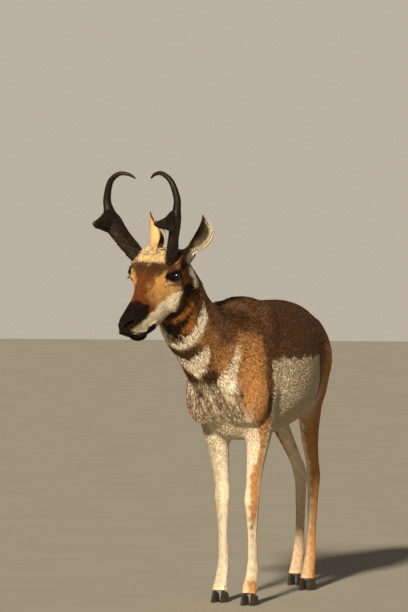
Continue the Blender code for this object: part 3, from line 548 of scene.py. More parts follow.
def marked(points):
    """The coat's colour at each point, in linear light, with painted shade on flanks, belly, back, neck, lip
    and throat.
    """
    body = in_body(points)
    head, _ = left_half(in_head(points))
    height, angle, _ = along_neck(points)
    x, y, z = body.T
    hx, hy, hz = head.T
    edge = 0.0045 * wander(points, 0.030, 3) + 0.0022 * wander(points, 0.009, 4)
    throat = 180 - angle
    seen = head[:, ::2]
    rolled = np.column_stack([height, throat * THROAT_DEGREE])
    under = -hz - 0.55 * hx
    below = ramp(under, 0.070, 0.080)
    on_head = ramp(height, 0.425, 0.450) * fall(under, 0.078, 0.092)
    on_neck = ramp(height, 0.14, 0.22)

    def on_side(outline, soft, wobble=1.0):
        """Share of an outline on the head's side, with a wandering border."""
        return inside(within(seen, outline) + edge * wobble, soft)

    def on_throat(outline, soft, wobble=1.0):
        """Share of an outline on the neck rolled flat, with a wandering border."""
        return inside(within(rolled, np.array(outline) * (1, THROAT_DEGREE)) + edge * wobble, soft)

    # trunk: brown above and white flanks and belly, both darkened as painted shade, tan shoulders and a
    # white rump
    coat = Paint(SHADED_BROWN, len(points))
    # the tan shoulder ends where its lit side turns away from the light, and the brown behind it is painted
    # shade
    shoulder = np.minimum(0.775 - z, np.minimum(x - 0.305, 0.412 - x))
    coat.lay(TAN, inside(shoulder + edge * 2, 0.018))
    coat.lay(TAN, inside(0.70 - z + edge * 3, 0.06) * ramp(-x, 0.18, 0.30))
    under_back = np.minimum(0.699 - z, 0.735 - z - 0.17 * x)
    flank = np.minimum(under_back, np.minimum(0.262 - x + 0.06 * (0.66 - z), x + 0.155))
    # painted shade: the white of the flanks and belly is dimmed, as they lie in shade
    coat.lay(PALE_GREY_AND_SHADED_WHITE, inside(flank + edge * 1.4, 0.005))
    belly = np.minimum(0.555 - 0.16 * np.abs(x - 0.03) - z, 0.30 - np.abs(x + 0.02))
    coat.lay(PALE_GREY_AND_SHADED_WHITE, inside(belly + edge, 0.010))
    rump = np.minimum(-0.395 + 0.12 * (z - 0.70) - x, 0.12 - np.abs(y) + 0.2 * (-0.40 - x))
    rump = np.where(z > 0.60, rump + 0.02 * ramp(z, 0.60, 0.64), -1)
    spine = ramp(z, 0.800, 0.815) * fall(np.abs(y), 0.010, 0.022)
    coat.lay(WHITE, inside(rump + edge, 0.006) * (1 - spine))
    # legs: tan outside, white within and down the front of the thigh
    inner = inside(0.056 + 0.030 * ramp(x, 0.20, 0.30) * ramp(z, 0.35, 0.45) - np.abs(y) + edge, 0.006)
    low = fall(z, 0.50, 0.58)
    coat.lay(TAN, low * (1 - inside(flank, 0.01)))
    coat.lay(WHITE, inner * low * (0.85 - 0.35 * fall(z, 0.10, 0.35)))
    coat.lay(WHITE, 0.8 * hill(x, -0.225, 0.035) * hill(z, 0.52, 0.09) * ramp(-x, 0, 0.05))
    # chest: mottled grey, brown and white between the forelegs
    chest = ramp(x, 0.33, 0.37) * fall(z, 0.620, 0.650) * fall(np.abs(y + 0.030), 0.082, 0.098)
    mottle = wander(points * (1.3, 1, 0.40), 0.020, 5) + 0.8 * wander(points * (1.2, 1, 0.35), 0.008, 8)
    coat.lay(GREY, chest)
    bright = mottle + 0.5 * hill(np.abs(y), 0.030, 0.018) * ramp(z, 0.56, 0.59)
    coat.lay(WHITE, chest * ramp(bright, 0.10, 1.10) * 0.70)
    coat.lay(UMBER, chest * ramp(-mottle, 0.10, 1.20) * 0.70)

    # neck: dark nape, brown sides darkened as painted shade, rust and white bands round the throat
    coat.lay(SHADED_BROWN, on_neck * ramp(height, 0.225, 0.250) * 0.9)
    coat.lay(NAPE_BROWN, on_neck * fall(angle, 35, 80) * 0.85)
    rusty = fall(throat, 62, 88) * inside(0.048 - np.abs(height - 0.352) + edge, 0.010)
    coat.lay(SADDLE, rusty * 0.75)
    coat.lay(SADDLE, 0.45 * fall(throat, 50, 84) * inside(0.035 - np.abs(height - 0.280), 0.010))
    dark = inside(0.026 - np.abs(height - 0.332) + edge, 0.005) * fall(throat, 18, 44)
    coat.lay(DARK_RUST, dark * 0.9)
    wedge = on_throat(CHEST_WEDGE, 0.009)
    coat.lay(TAN, wedge * (0.9 - 0.4 * ramp(height, 0.240, 0.285)))
    coat.lay(DARK_RUST, on_throat(BROWN_PATCH, 0.006) * 0.9)
    for outline in (UPPER_BAND, LOWER_BAND, CHEST_STRIPE):
        coat.lay(WHITE, on_throat(outline, 0.003, 0.4))
    for spot_x, spot_y, spot_z, size in ((0.399, 0.061, 0.599, 0.011), (0.402, 0.062, 0.633, 0.007)):
        spot = np.linalg.norm(np.abs(body * (0, 1, 0)) + body * (1, 0, 1) - (spot_x, spot_y, spot_z), axis=1)
        coat.lay(UMBER, inside(size - spot + edge * 0.5, 0.004) * 0.85)

    # head: rust above, white cheek and lip, black nose, cheek patch and lids
    face = Paint(RUST, len(points))
    middle = np.interp(hx, (0.100, 0.125, 0.145, 0.165), (0.032, 0.030, 0.0275, 0.0285))
    pale = inside(hy - middle + edge * 1.2, 0.010) * ramp(hx, 0.085, 0.100) * fall(hx, 0.160, 0.195)
    face.lay(PALE_ORANGE, pale)
    face.lay(NAPE_BROWN, fall(hx, 0.030, 0.052))
    ear_base = np.linalg.norm((head - (-0.014, 0.054, 0.022)) / (0.030, 0.030, 0.026), axis=1)
    face.lay(GREY, fall(ear_base + edge * 30, 0.85, 1.15) * 0.75)
    face.lay(UNDER_EYE_TAN, on_side(UNDER_EYE, 0.006))
    face.lay(TAN, on_side(BROW, 0.006))
    face.lay(NAPE_BROWN, on_side(BEHIND_EYE, 0.006) * 0.9)
    band_top = np.interp(hy, (0, 0.017, 0.030, 0.043, 0.065), (0.100, 0.096, 0.093, 0.088, 0.084))
    band_low = np.interp(hy, (0, 0.019, 0.032, 0.037, 0.048, 0.056),
                         (0.138, 0.133, 0.127, 0.120, 0.110, 0.106))
    band = np.minimum(np.minimum(band_low - hx, hx - band_top + 0.01), hz - 0.040)
    face.lay(UMBER, inside(band + edge * 0.8, 0.007) * (0.60 + 0.35 * ramp(-hx, -0.130, -0.108)))
    crown = np.minimum(np.minimum(band_top - hx, hx + 0.005), 0.050 + 0.012 * ramp(hx, 0.080, 0.088) - hy)
    specks = ramp(wander(points, 0.007, 9), 0.30, 0.90) * fall(hx, 0.055, 0.085) * 0.55
    face.lay(CREAM, inside(crown + edge * 0.8, 0.004) * ramp(hz, 0.046, 0.054) * (1 - specks))
    face.lay(WHITE, on_side(WHITE_CHEEK, 0.0035, 0.6))
    # painted shade: the white of the lip is darkened toward the nose, where it faces down
    face.lay(UMBER, on_side(WHITE_CHEEK, 0.003, 0) * ramp(hx, 0.215, 0.280) * 0.65)
    behind = np.interp(-hz, (0.036, 0.042, 0.055, 0.075, 0.098, 0.150),
                       (0.081, 0.090, 0.109, 0.121, 0.118, 0.128))
    jaw = inside(np.minimum(behind - 0.002 - hx, -0.042 - hz) + edge * 0.6, 0.004)
    face.lay(DARK_RUST, jaw * 0.9)
    face.lay(BRIGHT_RUST, inside(0.0055 - distance_to(seen, JAW_STRIPE) + edge * 0.5, 0.003) * 0.9)
    face.lay(BLACK_BROWN, on_side(CHEEK_PATCH, 0.005))
    face.lay(PALE_GREY_AND_SHADED_WHITE, on_side(RUFF_PATCH, 0.005) * ramp(hy, 0.02, 0.04))
    face.lay(BLACK_BROWN, on_side(NOSE_PATCH, 0.0055, 0.6))
    face.lay(BLACK_BROWN, on_side(DARK_CHIN, 0.0025, 0.2) * 0.99)
    _, u, v, h = eye_ring(head)
    lids = np.hypot((u + 0.0085) / 0.0375, v / 0.0148)
    face.lay(BLACK_BROWN, np.where(h > 0, fall(lids + edge * 12, 0.97, 1.12), 0))
    tear = distance_to(head, TEAR_LINE)
    face.lay(UMBER, fall(tear, 0.0025, 0.0055) * 0.8)

    coat.tones = laid_over(coat.tones, (0, 0, 0), on_head) + face.tones * on_head[:, None]
    # partly painted shadow: black-brown under the jaw where the head shades the throat
    coat.lay(BLACK_BROWN, on_throat(SHADOWED_UNDER_JAW, 0.005) * below)
    patch = on_throat(ORANGE_PATCH, 0.004, 0.6)
    coat.lay(BRIGHT_RUST, patch * below * ramp(hy, 0.018, 0.030))
    return coat.tones * (1 + 0.10 * wander(points, 0.020, 6) + 0.06 * wander(points, 0.006, 7))[:, None]


class Wire:
    """An output of a shader node; arithmetic on it adds Math nodes."""

    def __init__(self, tree, socket=None):
        self.tree = tree
        self.socket = socket

    def add(self, kind, settings=None, sockets=None, output=0):
        """Adds a node: its settings first, then values or links of its sockets; gives one of its outputs."""
        made = self.tree.nodes.new(kind)
        for name, value in (settings or {}).items():
            if name == "stops":
                ends = (made.color_ramp.elements[0], made.color_ramp.elements[-1])
                for stop, (at, colour) in zip(ends, value):
                    stop.position = at
                    stop.color = (*colour, 1.0)
            else:
                setattr(made, name, value)
        for name, value in (sockets or {}).items():
            if isinstance(value, Wire):
                self.tree.links.new(value.socket, made.inputs[name])
            else:
                made.inputs[name].default_value = value
        return Wire(self.tree, made.outputs[output])

    def worked(self, operation, *values):
        return self.add("ShaderNodeMath", {"operation": operation}, dict(enumerate(values)))

    def __add__(self, other):
        return self.worked("ADD", self, other)

    def __sub__(self, other):
        return self.worked("SUBTRACT", self, other)

    def __rsub__(self, other):
        return self.worked("SUBTRACT", other, self)

    def __mul__(self, other):
        return self.worked("MULTIPLY", self, other)

    __radd__ = __add__
    __rmul__ = __mul__

    def dyed(self, share):
        """This colour made lighter or darker by a factor."""
        return self.add("ShaderNodeVectorMath", {"operation": "SCALE"}, {"Vector": self, "Scale": share})


def finish(name, roughness, **constants):
    """A material with its shader, and a wire to work from."""
    material = bpy.data.materials.new(name)
    material.use_nodes = True
    shader = material.node_tree.nodes["Principled BSDF"]
    shader.inputs["Roughness"].default_value = roughness
    for key, value in constants.items():
        shader.inputs[key.replace("_", " ")].default_value = value
    wire = Wire(material.node_tree)
    wire.spot = wire.add("ShaderNodeTexCoord", output="Object")
    return material, shader, wire


def noise(wire, scale, detail=3.0, stretch=(1, 1, 1), rough=0.55):
    """A cloudy pattern on the piece, stretched along its axes."""
    spot = wire.spot
    if stretch != (1, 1, 1):
        spot = wire.add("ShaderNodeMapping", sockets={"Vector": spot, "Scale": stretch})
    sockets = {"Vector": spot, "Scale": scale, "Detail": detail, "Roughness": rough}
    return wire.add("ShaderNodeTexNoise", sockets=sockets)


def raised(wire, height, distance, strength=1.0):
    """A normal that raises the surface by a pattern."""
    return wire.add("ShaderNodeBump", sockets={"Height": height, "Distance": distance, "Strength": strength})


def join(wire, socket, shader, name):
    wire.tree.links.new(socket.socket, shader.inputs[name])


def painted(wire, shader, attribute, shade):
    """Takes the base colour from a colour kept in the mesh, made lighter or darker by a pattern."""
    tint = wire.add("ShaderNodeAttribute", {"attribute_name": attribute}, output="Color")
    join(wire, tint.dyed(shade), shader, "Base Color")


def stored(mesh, name, colours):
    """Keeps a colour for each point of a mesh."""
    kept = mesh.color_attributes.new(name, "FLOAT_COLOR", "POINT")
    rows = np.ones((len(colours), 4), np.float32)
    rows[:, :3] = colours
    kept.data.foreach_set("color", rows.ravel())


def hide_finish():
    material, shader, wire = finish("short_hair_hide", 0.85, Specular_IOR_Level=0.12)
    fine = noise(wire, 420.0, 4.0)
    painted(wire, shader, "marking_and_painted_shade", fine * 0.55 + 0.70)
    join(wire, raised(wire, fine + noise(wire, 160.0), 0.0012), shader, "Normal")
    return material


skin.data.shade_smooth()
# the colours kept on the hide are the markings with their painted shade
stored(skin.data, "marking_and_painted_shade", marked(read(skin.data)))
skin.data.materials.clear()
skin.data.materials.append(hide_finish())

# Eyes: a glass eyeball in each socket, near black, with a long level pupil under a clear bulging cornea.
# Dark wet lid rims roll round the opening, and long black lashes root in the upper one.

PUPIL_LONG = 0.0085
PUPIL_TALL = 0.0034
IRIS_SIZE = 0.0150
CORNEA_BULGE = 0.0028
CORNEA_SIZE = 0.0135
BALL_BLACK = (0.0012, 0.0009, 0.0007)
IRIS_BROWN = (0.0018, 0.0010, 0.0007)
PUPIL_BLACK = (0.0006, 0.0006, 0.0006)
LID_TONES = ((0.3, (0.005, 0.0035, 0.003)), (0.8, (0.014, 0.009, 0.006)))


def side_name(side):
    return "left" if side > 0 else "right"


def mirrored(rows, side):
    """Rows of points on the left (+1) or the right (-1) of the head."""
    return np.asarray(rows, float) * (1, side, 1)


def to_world(rows):
    here = np.array(HEAD_HERE)
    return np.asarray(rows, float) @ here[:3, :3].T + here[:3, 3]


def new_piece(name, form, slot, *nodes):
    """A finished bmesh as a piece of the model, which takes the place of the named nodes."""
    mesh = bpy.data.meshes.new(name)
    form.to_mesh(mesh)
    form.free()
    made = linked(name, mesh)
    mesh.shade_smooth()
    if nodes:
        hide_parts(*nodes)
    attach(made, "root")
    return made


def eye_finish():
    material, shader, wire = finish("wet_eye", 0.03, IOR=1.34, Specular_IOR_Level=0.40)
    painted(wire, shader, "iris", noise(wire, 900.0) * 0.6 + 0.7)
    return material


def eyeball(side, material):
    """One ball with its cornea, iris and pupil, turned out as the lids are."""
    form = bmesh.new()
    bmesh.ops.create_icosphere(form, subdivisions=5, radius=1.0)
    name = side_name(side)
    made = new_piece(f"eyeball_{name}", form, "eye_black", f"eye_{name}")
    along, up, out = eye_axes()
    rows = read(made.data)
    u, v, h = (rows @ axis * EYE_RADIUS for axis in (along, up, out))
    from_axis = np.hypot(u, v)
    bulge = CORNEA_BULGE * np.clip(1 - (from_axis / CORNEA_SIZE) ** 2, 0, 1) ** 1.5 * (h > 0)
    rows = mirrored(np.array(EYE_AT) + rows * (EYE_RADIUS - 0.0002 + bulge)[:, None], side)
    place(made.data, to_world(rows))
    iris = fall(from_axis, IRIS_SIZE * 0.93, IRIS_SIZE) * (h > 0)
    pupil = fall(np.hypot(u / PUPIL_LONG, v / PUPIL_TALL), 0.90, 1.08) * (h > 0)
    colours = laid_over(np.tile(BALL_BLACK, (len(rows), 1)), IRIS_BROWN, iris)
    colours = laid_over(colours, PUPIL_BLACK, pupil)
    stored(made.data, "iris", colours)
    if side < 0:
        made.data.flip_normals()
    made.data.materials.append(material)


def lid_line(share_of_turn):
    """Place on the rim of the lids, and the way outward from the opening, in the head's frame."""
    along, up, out = eye_axes()
    turn = share_of_turn * 2 * math.pi
    u = EYE_LONG * math.cos(turn)
    v = EYE_TALL * math.sin(turn) * (1 - 0.30 * math.cos(turn) ** 2)
    outward = along * math.cos(turn) * EYE_TALL + up * math.sin(turn) * EYE_LONG
    outward = outward / np.linalg.norm(outward)
    at = np.array(EYE_AT) + along * u + up * v + out * math.sqrt(EYE_RADIUS**2 - u**2 - v**2)
    return at, outward


def lid_rims(side, material):
    """A closed ring with a round section, drawn in thinner at the corners of the eye."""
    form = bmesh.new()
    out = eye_axes()[2]
    rings = []
    for share in np.linspace(0, 1, 96, endpoint=False):
        at, outward = lid_line(share)
        thick = 0.0011 + 0.0005 * abs(math.sin(share * 2 * math.pi)) * (1.4 if share < 0.5 else 1.0)
        centre = at + outward * thick * 0.75 + out * 0.0004
        turns = np.linspace(0, 2 * math.pi, 12, endpoint=False)[:, None]
        rows = centre + thick * (outward * np.cos(turns) + out * np.sin(turns))
        rings.append([form.verts.new(row) for row in to_world(mirrored(rows, side))])
    for ring, after in zip(rings, rings[1:] + rings[:1]):
        edges = [form.edges.get(pair) or form.edges.new(pair) for loop in (ring, after)
                 for pair in zip(loop, loop[1:] + loop[:1])]
        bmesh.ops.bridge_loops(form, edges=edges)
    bmesh.ops.recalc_face_normals(form, faces=form.faces)
    made = new_piece(f"lid_rims_{side_name(side)}", form, "eye_black")
    made.data.materials.append(material)


eye_glass = eye_finish()
lid_skin, shader, wire = finish("wet_lid_skin", 0.50, Specular_IOR_Level=0.25)
tone = wire.add("ShaderNodeValToRGB", {"stops": LID_TONES}, {"Fac": noise(wire, 700.0)})
join(wire, tone, shader, "Base Color")
join(wire, raised(wire, noise(wire, 900.0), 0.0003), shader, "Normal")
for side in (1, -1):
    eyeball(side, eye_glass)
    lid_rims(side, lid_skin)

# Ears: cupped leaves of gristle and skin, as thin as the real ones, with a dark front rim and tip.
# The left one opens ahead, the right one is turned back and out. Their roots are sunk in the head.

EAR_FOOT = Vector((-0.022, 0.056, 0.014))
EAR_RISE = Vector((-0.016, 0.030, 0.104))
EAR_WIDTH = {"left": 0.0255, "right": 0.0290}
# How soon each leaf narrows toward its tip
EAR_POINT = {"left": 0.90, "right": 0.70}
EAR_WALL = 0.0030
EAR_CUP = {"left": 15.0, "right": 255.0}
EAR_BOW = {"left": 0.027, "right": -0.020}
# How white the fringe of each leaf is
EAR_EDGE = {"left": 0.9, "right": 0.3}
EAR_ROWS = 46
EAR_STEPS = 22


def upright_place(local):
    """An upright frame turned with the head, at a point of the head's frame."""
    return Matrix.Translation(HEAD_HERE @ local) @ Matrix.Rotation(HEAD_TURN, 4, "Z")


def ear(side):
    """The ear's wall from root to tip; gives the piece with each point's share of height, turn and face."""
    name = side_name(side)
    foot = np.array(upright_place(Vector(mirrored(EAR_FOOT, side))))
    rise = Vector(mirrored(EAR_RISE, side))
    axis = rise.normalized()
    turn = math.radians(EAR_CUP[name]) * side
    faces = Vector((math.cos(turn), math.sin(turn), 0))
    faces = (faces - axis * faces.dot(axis)).normalized()
    across = axis.cross(faces)
    form = bmesh.new()
    rings = []
    notes = []
    for share in np.linspace(-0.12, 1.0, EAR_ROWS):
        above = max(share, 0.0)
        leaf = math.sin(math.pi * (0.20 + 0.80 * above)) ** EAR_POINT[name] if above < 1 else 0.0
        slim = 0.50 + 0.50 * float(ramp(share, -0.25, 0.20))
        half = max(EAR_WIDTH[name] * leaf * slim, 0.0015) - 0.0006
        open_to = math.radians(110 - 45 * float(ramp(share, 0.35, 1.0)))
        wall = min(EAR_WALL + 0.016 * (1 - float(ramp(share, -0.10, 0.16))), half * 0.8)
        middle = rise * share + Vector((0, side, 0)) * EAR_BOW[name] * math.sin(math.pi * above)
        outer = []
        inner = []
        for step in np.linspace(-1, 1, EAR_STEPS):
            angle = step * open_to
            radial = across * math.sin(angle) - faces * math.cos(angle)
            radius = half / math.sin(min(open_to, math.pi / 2))
            ripple = 0.0008 * math.sin(9 * step + 5 * share) * (1 - step**2)
            edge = 1 - 0.70 * abs(step) ** 3
            outer.append(form.verts.new(middle + radial * radius))
            inner.append(form.verts.new(middle + radial * (radius - wall * edge + ripple)))
        rings.append(outer + inner[::-1])
        steps = np.linspace(-1, 1, EAR_STEPS)
        notes += [(share, step, 0.0) for step in steps] + [(share, step, 1.0) for step in steps[::-1]]
    order = {vert: index for index, vert in enumerate(vert for ring in rings for vert in ring)}
    for ring, after in zip(rings, rings[1:]):
        for i in range(len(ring)):
            j = (i + 1) % len(ring)
            form.faces.new((ring[i], ring[j], after[j], after[i]))
    form.faces.new(rings[0][::-1])
    form.faces.new(rings[-1])
    form.verts.index_update()
    found = [notes[order[vert]] for vert in form.verts]
    bmesh.ops.recalc_face_normals(form, faces=form.faces)
    bmesh.ops.transform(form, matrix=Matrix(foot), verts=form.verts)
    return new_piece(f"pinna_{name}", form, "coat_tan", f"ear_{name}"), np.array(found)


def ear_colours(notes, pale_edge):
    """Tan back, hollow darkened to grey-olive as painted shade, dark front rim and tip, white rear edge."""
    share, step, face = notes.T
    colours = np.tile(UNDER_EYE_TAN, (len(notes), 1))
    colours = laid_over(colours, TAN, ramp(share, 0.45, 0.85) * 0.6)
    # painted shade: the hollow of the leaf is dark olive
    colours = laid_over(colours, (0.064, 0.045, 0.024), face)
    colours = laid_over(colours, GREY, face * fall(share, 0.05, 0.50) * 0.4)
    colours = laid_over(colours, WHITE, ramp(step, 0.74, 0.92) * fall(share, 0.76, 0.92) * pale_edge)
    front = ramp(-step, 0.05, 0.55) * face + ramp(-step, 0.88, 0.96) * (1 - face)
    colours = laid_over(colours, BLACK_BROWN, front * ramp(share, 0.20, 0.40) * 0.95)
    return laid_over(colours, BLACK_BROWN, ramp(share + 0.04 * face, 0.94, 0.99))


def ear_finish():
    material, shader, wire = finish("ear_skin", 0.75, Specular_IOR_Level=0.2)
    fine = noise(wire, 380.0, 4.0, (1, 1, 0.35))
    painted(wire, shader, "marking_and_painted_shade", fine * 0.6 + 0.7)
    join(wire, raised(wire, fine, 0.0008), shader, "Normal")
    return material


ear_skin = ear_finish()
pinnae = {}
for side in (1, -1):
    pinna, notes = ear(side)
    pale_edge = EAR_EDGE[side_name(side)]
    stored(pinna.data, "marking_and_painted_shade", ear_colours(notes, pale_edge))
    pinna.data.materials.append(ear_skin)
    pinnae[side] = (pinna, notes, pale_edge)

# Horns: black sheaths of keratin, each a flattened beam with a forward prong and a hooked tip.
# The lower beam is rough with lengthwise fibres and burrs, and the prong and the tips are rubbed smooth.

HORN_FOOT = Vector((0.060, 0.057, 0.066))
# Ahead, outward, up, half width along the head, half width across it
HORN = (
    (-0.003, -0.008, -0.011, 0.020, 0.0125),
    (0.004, 0.000, 0.000, 0.025, 0.0150),
    (0.034, 0.026, 0.046, 0.027, 0.0145),
    (0.056, 0.048, 0.092, 0.030, 0.0140),
    (0.062, 0.055, 0.124, 0.0160, 0.0115),
    (0.066, 0.058, 0.156, 0.0112, 0.0098),
    (0.072, 0.043, 0.202, 0.0090, 0.0080),
    (0.073, 0.014, 0.224, 0.0072, 0.0064),
    (0.066, -0.014, 0.222, 0.0052, 0.0048),
    (0.059, -0.032, 0.211, 0.0022, 0.0022),
)
# Ahead, outward, up, half height, half thickness
PRONG = (
    (0.052, 0.047, 0.090, 0.034, 0.0115),
    (0.080, 0.051, 0.092, 0.030, 0.0115),
    (0.110, 0.051, 0.087, 0.018, 0.0105),
    (0.138, 0.047, 0.084, 0.0110, 0.0090),
    (0.156, 0.043, 0.086, 0.0060, 0.0055),
)
HORN_LIFT = {"left": 0.008, "right": 0.0}
# The flat of the beam is turned out by this much
HORN_TOE = math.radians(24.0)
HORN_GRAIN = 0.0015
HORN_BLACK = (0.0065, 0.0038, 0.0022)
WORN_BROWN = (0.100, 0.058, 0.026)
TIP_BROWN = (0.045, 0.032, 0.022)


def lofted(form, rings):
    """Bridges rings of points into a closed skin with domed ends."""
    loops = [[form.verts.new(row) for row in ring] for ring in rings]
    for lower, upper in zip(loops, loops[1:]):
        for i in range(len(lower)):
            j = (i + 1) % len(lower)
            form.faces.new((lower[i], lower[j], upper[j], upper[i]))
    form.faces.new(loops[0][::-1])
    form.faces.new(loops[-1])
    bmesh.ops.recalc_face_normals(form, faces=form.faces)


def round_ring(centre, side, up, width, height, count):
    turns = np.linspace(0, 2 * math.pi, count, endpoint=False)[:, None]
    return np.array(centre) + np.cos(turns) * width * np.array(side) + np.sin(turns) * height * np.array(up)


def horn(side, material):
    """One sheath: beam and prong fused, roughened with fibres and burrs, and set on the skull."""
    name = side_name(side)
    form = bmesh.new()
    rows = through(HORN, 8)
    ways = np.gradient(rows[:, :3], axis=0)
    rings = []
    for row, way in zip(rows, ways):
        along = Vector(way).normalized()
        flat = Vector((math.cos(HORN_TOE), math.sin(HORN_TOE), 0))
        ahead = (flat - along * along.dot(flat)).normalized()
        rings.append(round_ring(row[:3], ahead, along.cross(ahead), row[3], row[4], 40))
    lofted(form, rings)
    lofted(form, [round_ring(r[:3], (0, 0, 1), (0, 1, 0), r[3], r[4], 36) for r in through(PRONG, 8)])
    made = new_piece(f"sheath_{name}", form, "horn_black", f"horn_{name}")
    change = made.modifiers.new("fuse", "REMESH")
    change.mode = "VOXEL"
    change.voxel_size = HORN_GRAIN
    applied(made)
    rows = read(made.data)
    meeting = hill(rows[:, 2], 0.100, 0.035) * ramp(rows[:, 0], 0.05, 0.07)
    softened(made, np.clip(0.2 + meeting, 0, 1), 14)
    rows = read(made.data)
    normals = read(made.data, "vector", "vertex_normals")
    rough = fall(rows[:, 2], 0.070, 0.150)
    fibres = wander(rows * (1, 1, 0.10), 0.0042, 21 + side)
    burrs = np.maximum(wander(rows, 0.0075, 23 + side) - 0.35, 0) * fall(rows[:, 2], 0.015, 0.060)
    rings_of_growth = wander(rows * (0.2, 0.2, 1), 0.014, 25 + side) * rough
    relief = 0.0003 * fibres * (0.25 + rough) + 0.0020 * burrs + 0.0003 * rings_of_growth
    rows = rows + normals * relief[:, None]
    patchy = ramp(wander(rows, 0.030, 27), 0.1, 0.8)
    worn = np.clip(0.08 + 0.35 * rough * ramp(fibres, 0.0, 0.9) + 0.35 * rough * patchy, 0, 1)
    colours = laid_over(np.tile(HORN_BLACK, (len(rows), 1)), WORN_BROWN, worn * 0.40)
    tips = ramp(rows[:, 2], 0.205, 0.232) + 0.4 * ramp(rows[:, 0], 0.130, 0.158)
    colours = laid_over(colours, TIP_BROWN, np.clip(tips, 0, 1) * 0.4)
    stored(made.data, "keratin", colours)
    rows[:, 2] += HORN_LIFT[name] * ramp(rows[:, 2], 0.0, 0.08)
    foot = np.array(upright_place(Vector(mirrored(HORN_FOOT, side))))
    rows = mirrored(rows, side)
    place(made.data, rows @ foot[:3, :3].T + foot[:3, 3])
    if side < 0:
        made.data.flip_normals()
    made.data.shade_smooth()
    made.data.materials.clear()
    made.data.materials.append(material)


def horn_finish():
    material, shader, wire = finish("horn_keratin", 0.42, Specular_IOR_Level=0.24)
    fibre = noise(wire, 420.0, 5.0, (1, 1, 0.12))
    painted(wire, shader, "keratin", fibre * 1.2 + 0.4)
    join(wire, fibre * 0.45 + 0.26, shader, "Roughness")
    join(wire, raised(wire, fibre, 0.0010), shader, "Normal")
    return material


keratin = horn_finish()
for side in (1, -1):
    horn(side, keratin)

# Hooves: two pointed black toes to a foot, with a flat sole and a steep outer wall.
# Fine growth lines run round the wall, which is scuffed paler in patches.

HOOF_TONES = ((0.35, (0.014, 0.011, 0.009)), (0.85, (0.110, 0.085, 0.062)))
# Share of the hoof's height, and how its width departs there from an even taper
HOOF_RISE = (
    (0.0, -0.10), (0.05, -0.02), (0.14, 0.0), (0.35, 0.0),
    (0.60, 0.0), (0.85, 0.0), (0.97, -0.03), (1.0, -0.12),
)


def hoof(node, material):
    """A toe that fills its node's box: ahead is narrow, the heel is round and low."""
    low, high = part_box(node)
    middle = (low + high) / 2
    length = (high.x - low.x) / 2
    width = (high.y - low.y) / 2
    sign = 1 if ("outer" in node) == ("left" in node) else -1
    rings = []
    for share, draw_in in HOOF_RISE:
        turns = np.linspace(0, 2 * math.pi, 48, endpoint=False)
        ahead = np.cos(turns)
        shrink = 1 - 0.26 * share + draw_in
        narrow = 1 - 0.62 * np.maximum(ahead, 0) ** 2.2
        x = middle.x + length * (ahead * shrink - 0.20 * share)
        y = middle.y + width * (0.92 * narrow * np.sin(turns) * shrink - sign * 0.20 * np.maximum(ahead, 0))
        top = high.z - (high.z - low.z) * 0.42 * (0.5 - 0.5 * ahead)
        rings.append(np.column_stack([x, y, low.z + (top - low.z) * share]))
    form = bmesh.new()
    lofted(form, rings)
    made = new_piece(node + "_horn", form, "hoof_black", node)
    made.data.materials.append(material)


hoof_wall, shader, wire = finish("hoof_wall", 0.5, Coat_Weight=0.08)
growth = wire.add("ShaderNodeTexWave", {"bands_direction": "Z", "wave_profile": "SIN"},
                  {"Vector": wire.spot, "Scale": 90.0, "Distortion": 2.5,
                   "Detail": 2.0, "Detail Scale": 2.0})
scuffs = noise(wire, 240.0, 5.0)
tone = wire.add("ShaderNodeValToRGB", {"stops": HOOF_TONES}, {"Fac": scuffs * 0.85 + growth * 0.15})
join(wire, tone, shader, "Base Color")
join(wire, scuffs * 0.4 + 0.30, shader, "Roughness")
join(wire, raised(wire, growth * 0.5 + scuffs * 0.5, 0.0006), shader, "Normal")
for node in sorted(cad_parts):
    if node.startswith("hoof_"):
        hoof(node, hoof_wall)

# Coat: hollow, brittle hair in small flat tufts that are rooted in the hide and lie back along the body.
# Each tuft is a closed spindle, short on face and legs, longer on neck, chest and rump.

TUFT_SEED = 5
# How far along a short tuft its middle lies, and how high it stands there beside its tip
MIDDLE_SHARE = 0.42
MIDDLE_RISE = 0.66
# Side of each tuft's patch on the flat pattern of the hide
PATCH = 0.003


def along_surface(way, out):
    """Ways laid along a surface with the normals out."""
    way = way - out * np.sum(way * out, axis=1)[:, None]
    return way / np.maximum(np.linalg.norm(way, axis=1), 1e-6)[:, None]


def share_of_head(head, height):
    """How far each point belongs to the head rather than to the neck."""
    return ramp(height, 0.44, 0.50) * ramp(head[:, 2] + 0.5 * head[:, 0], -0.10, -0.05)


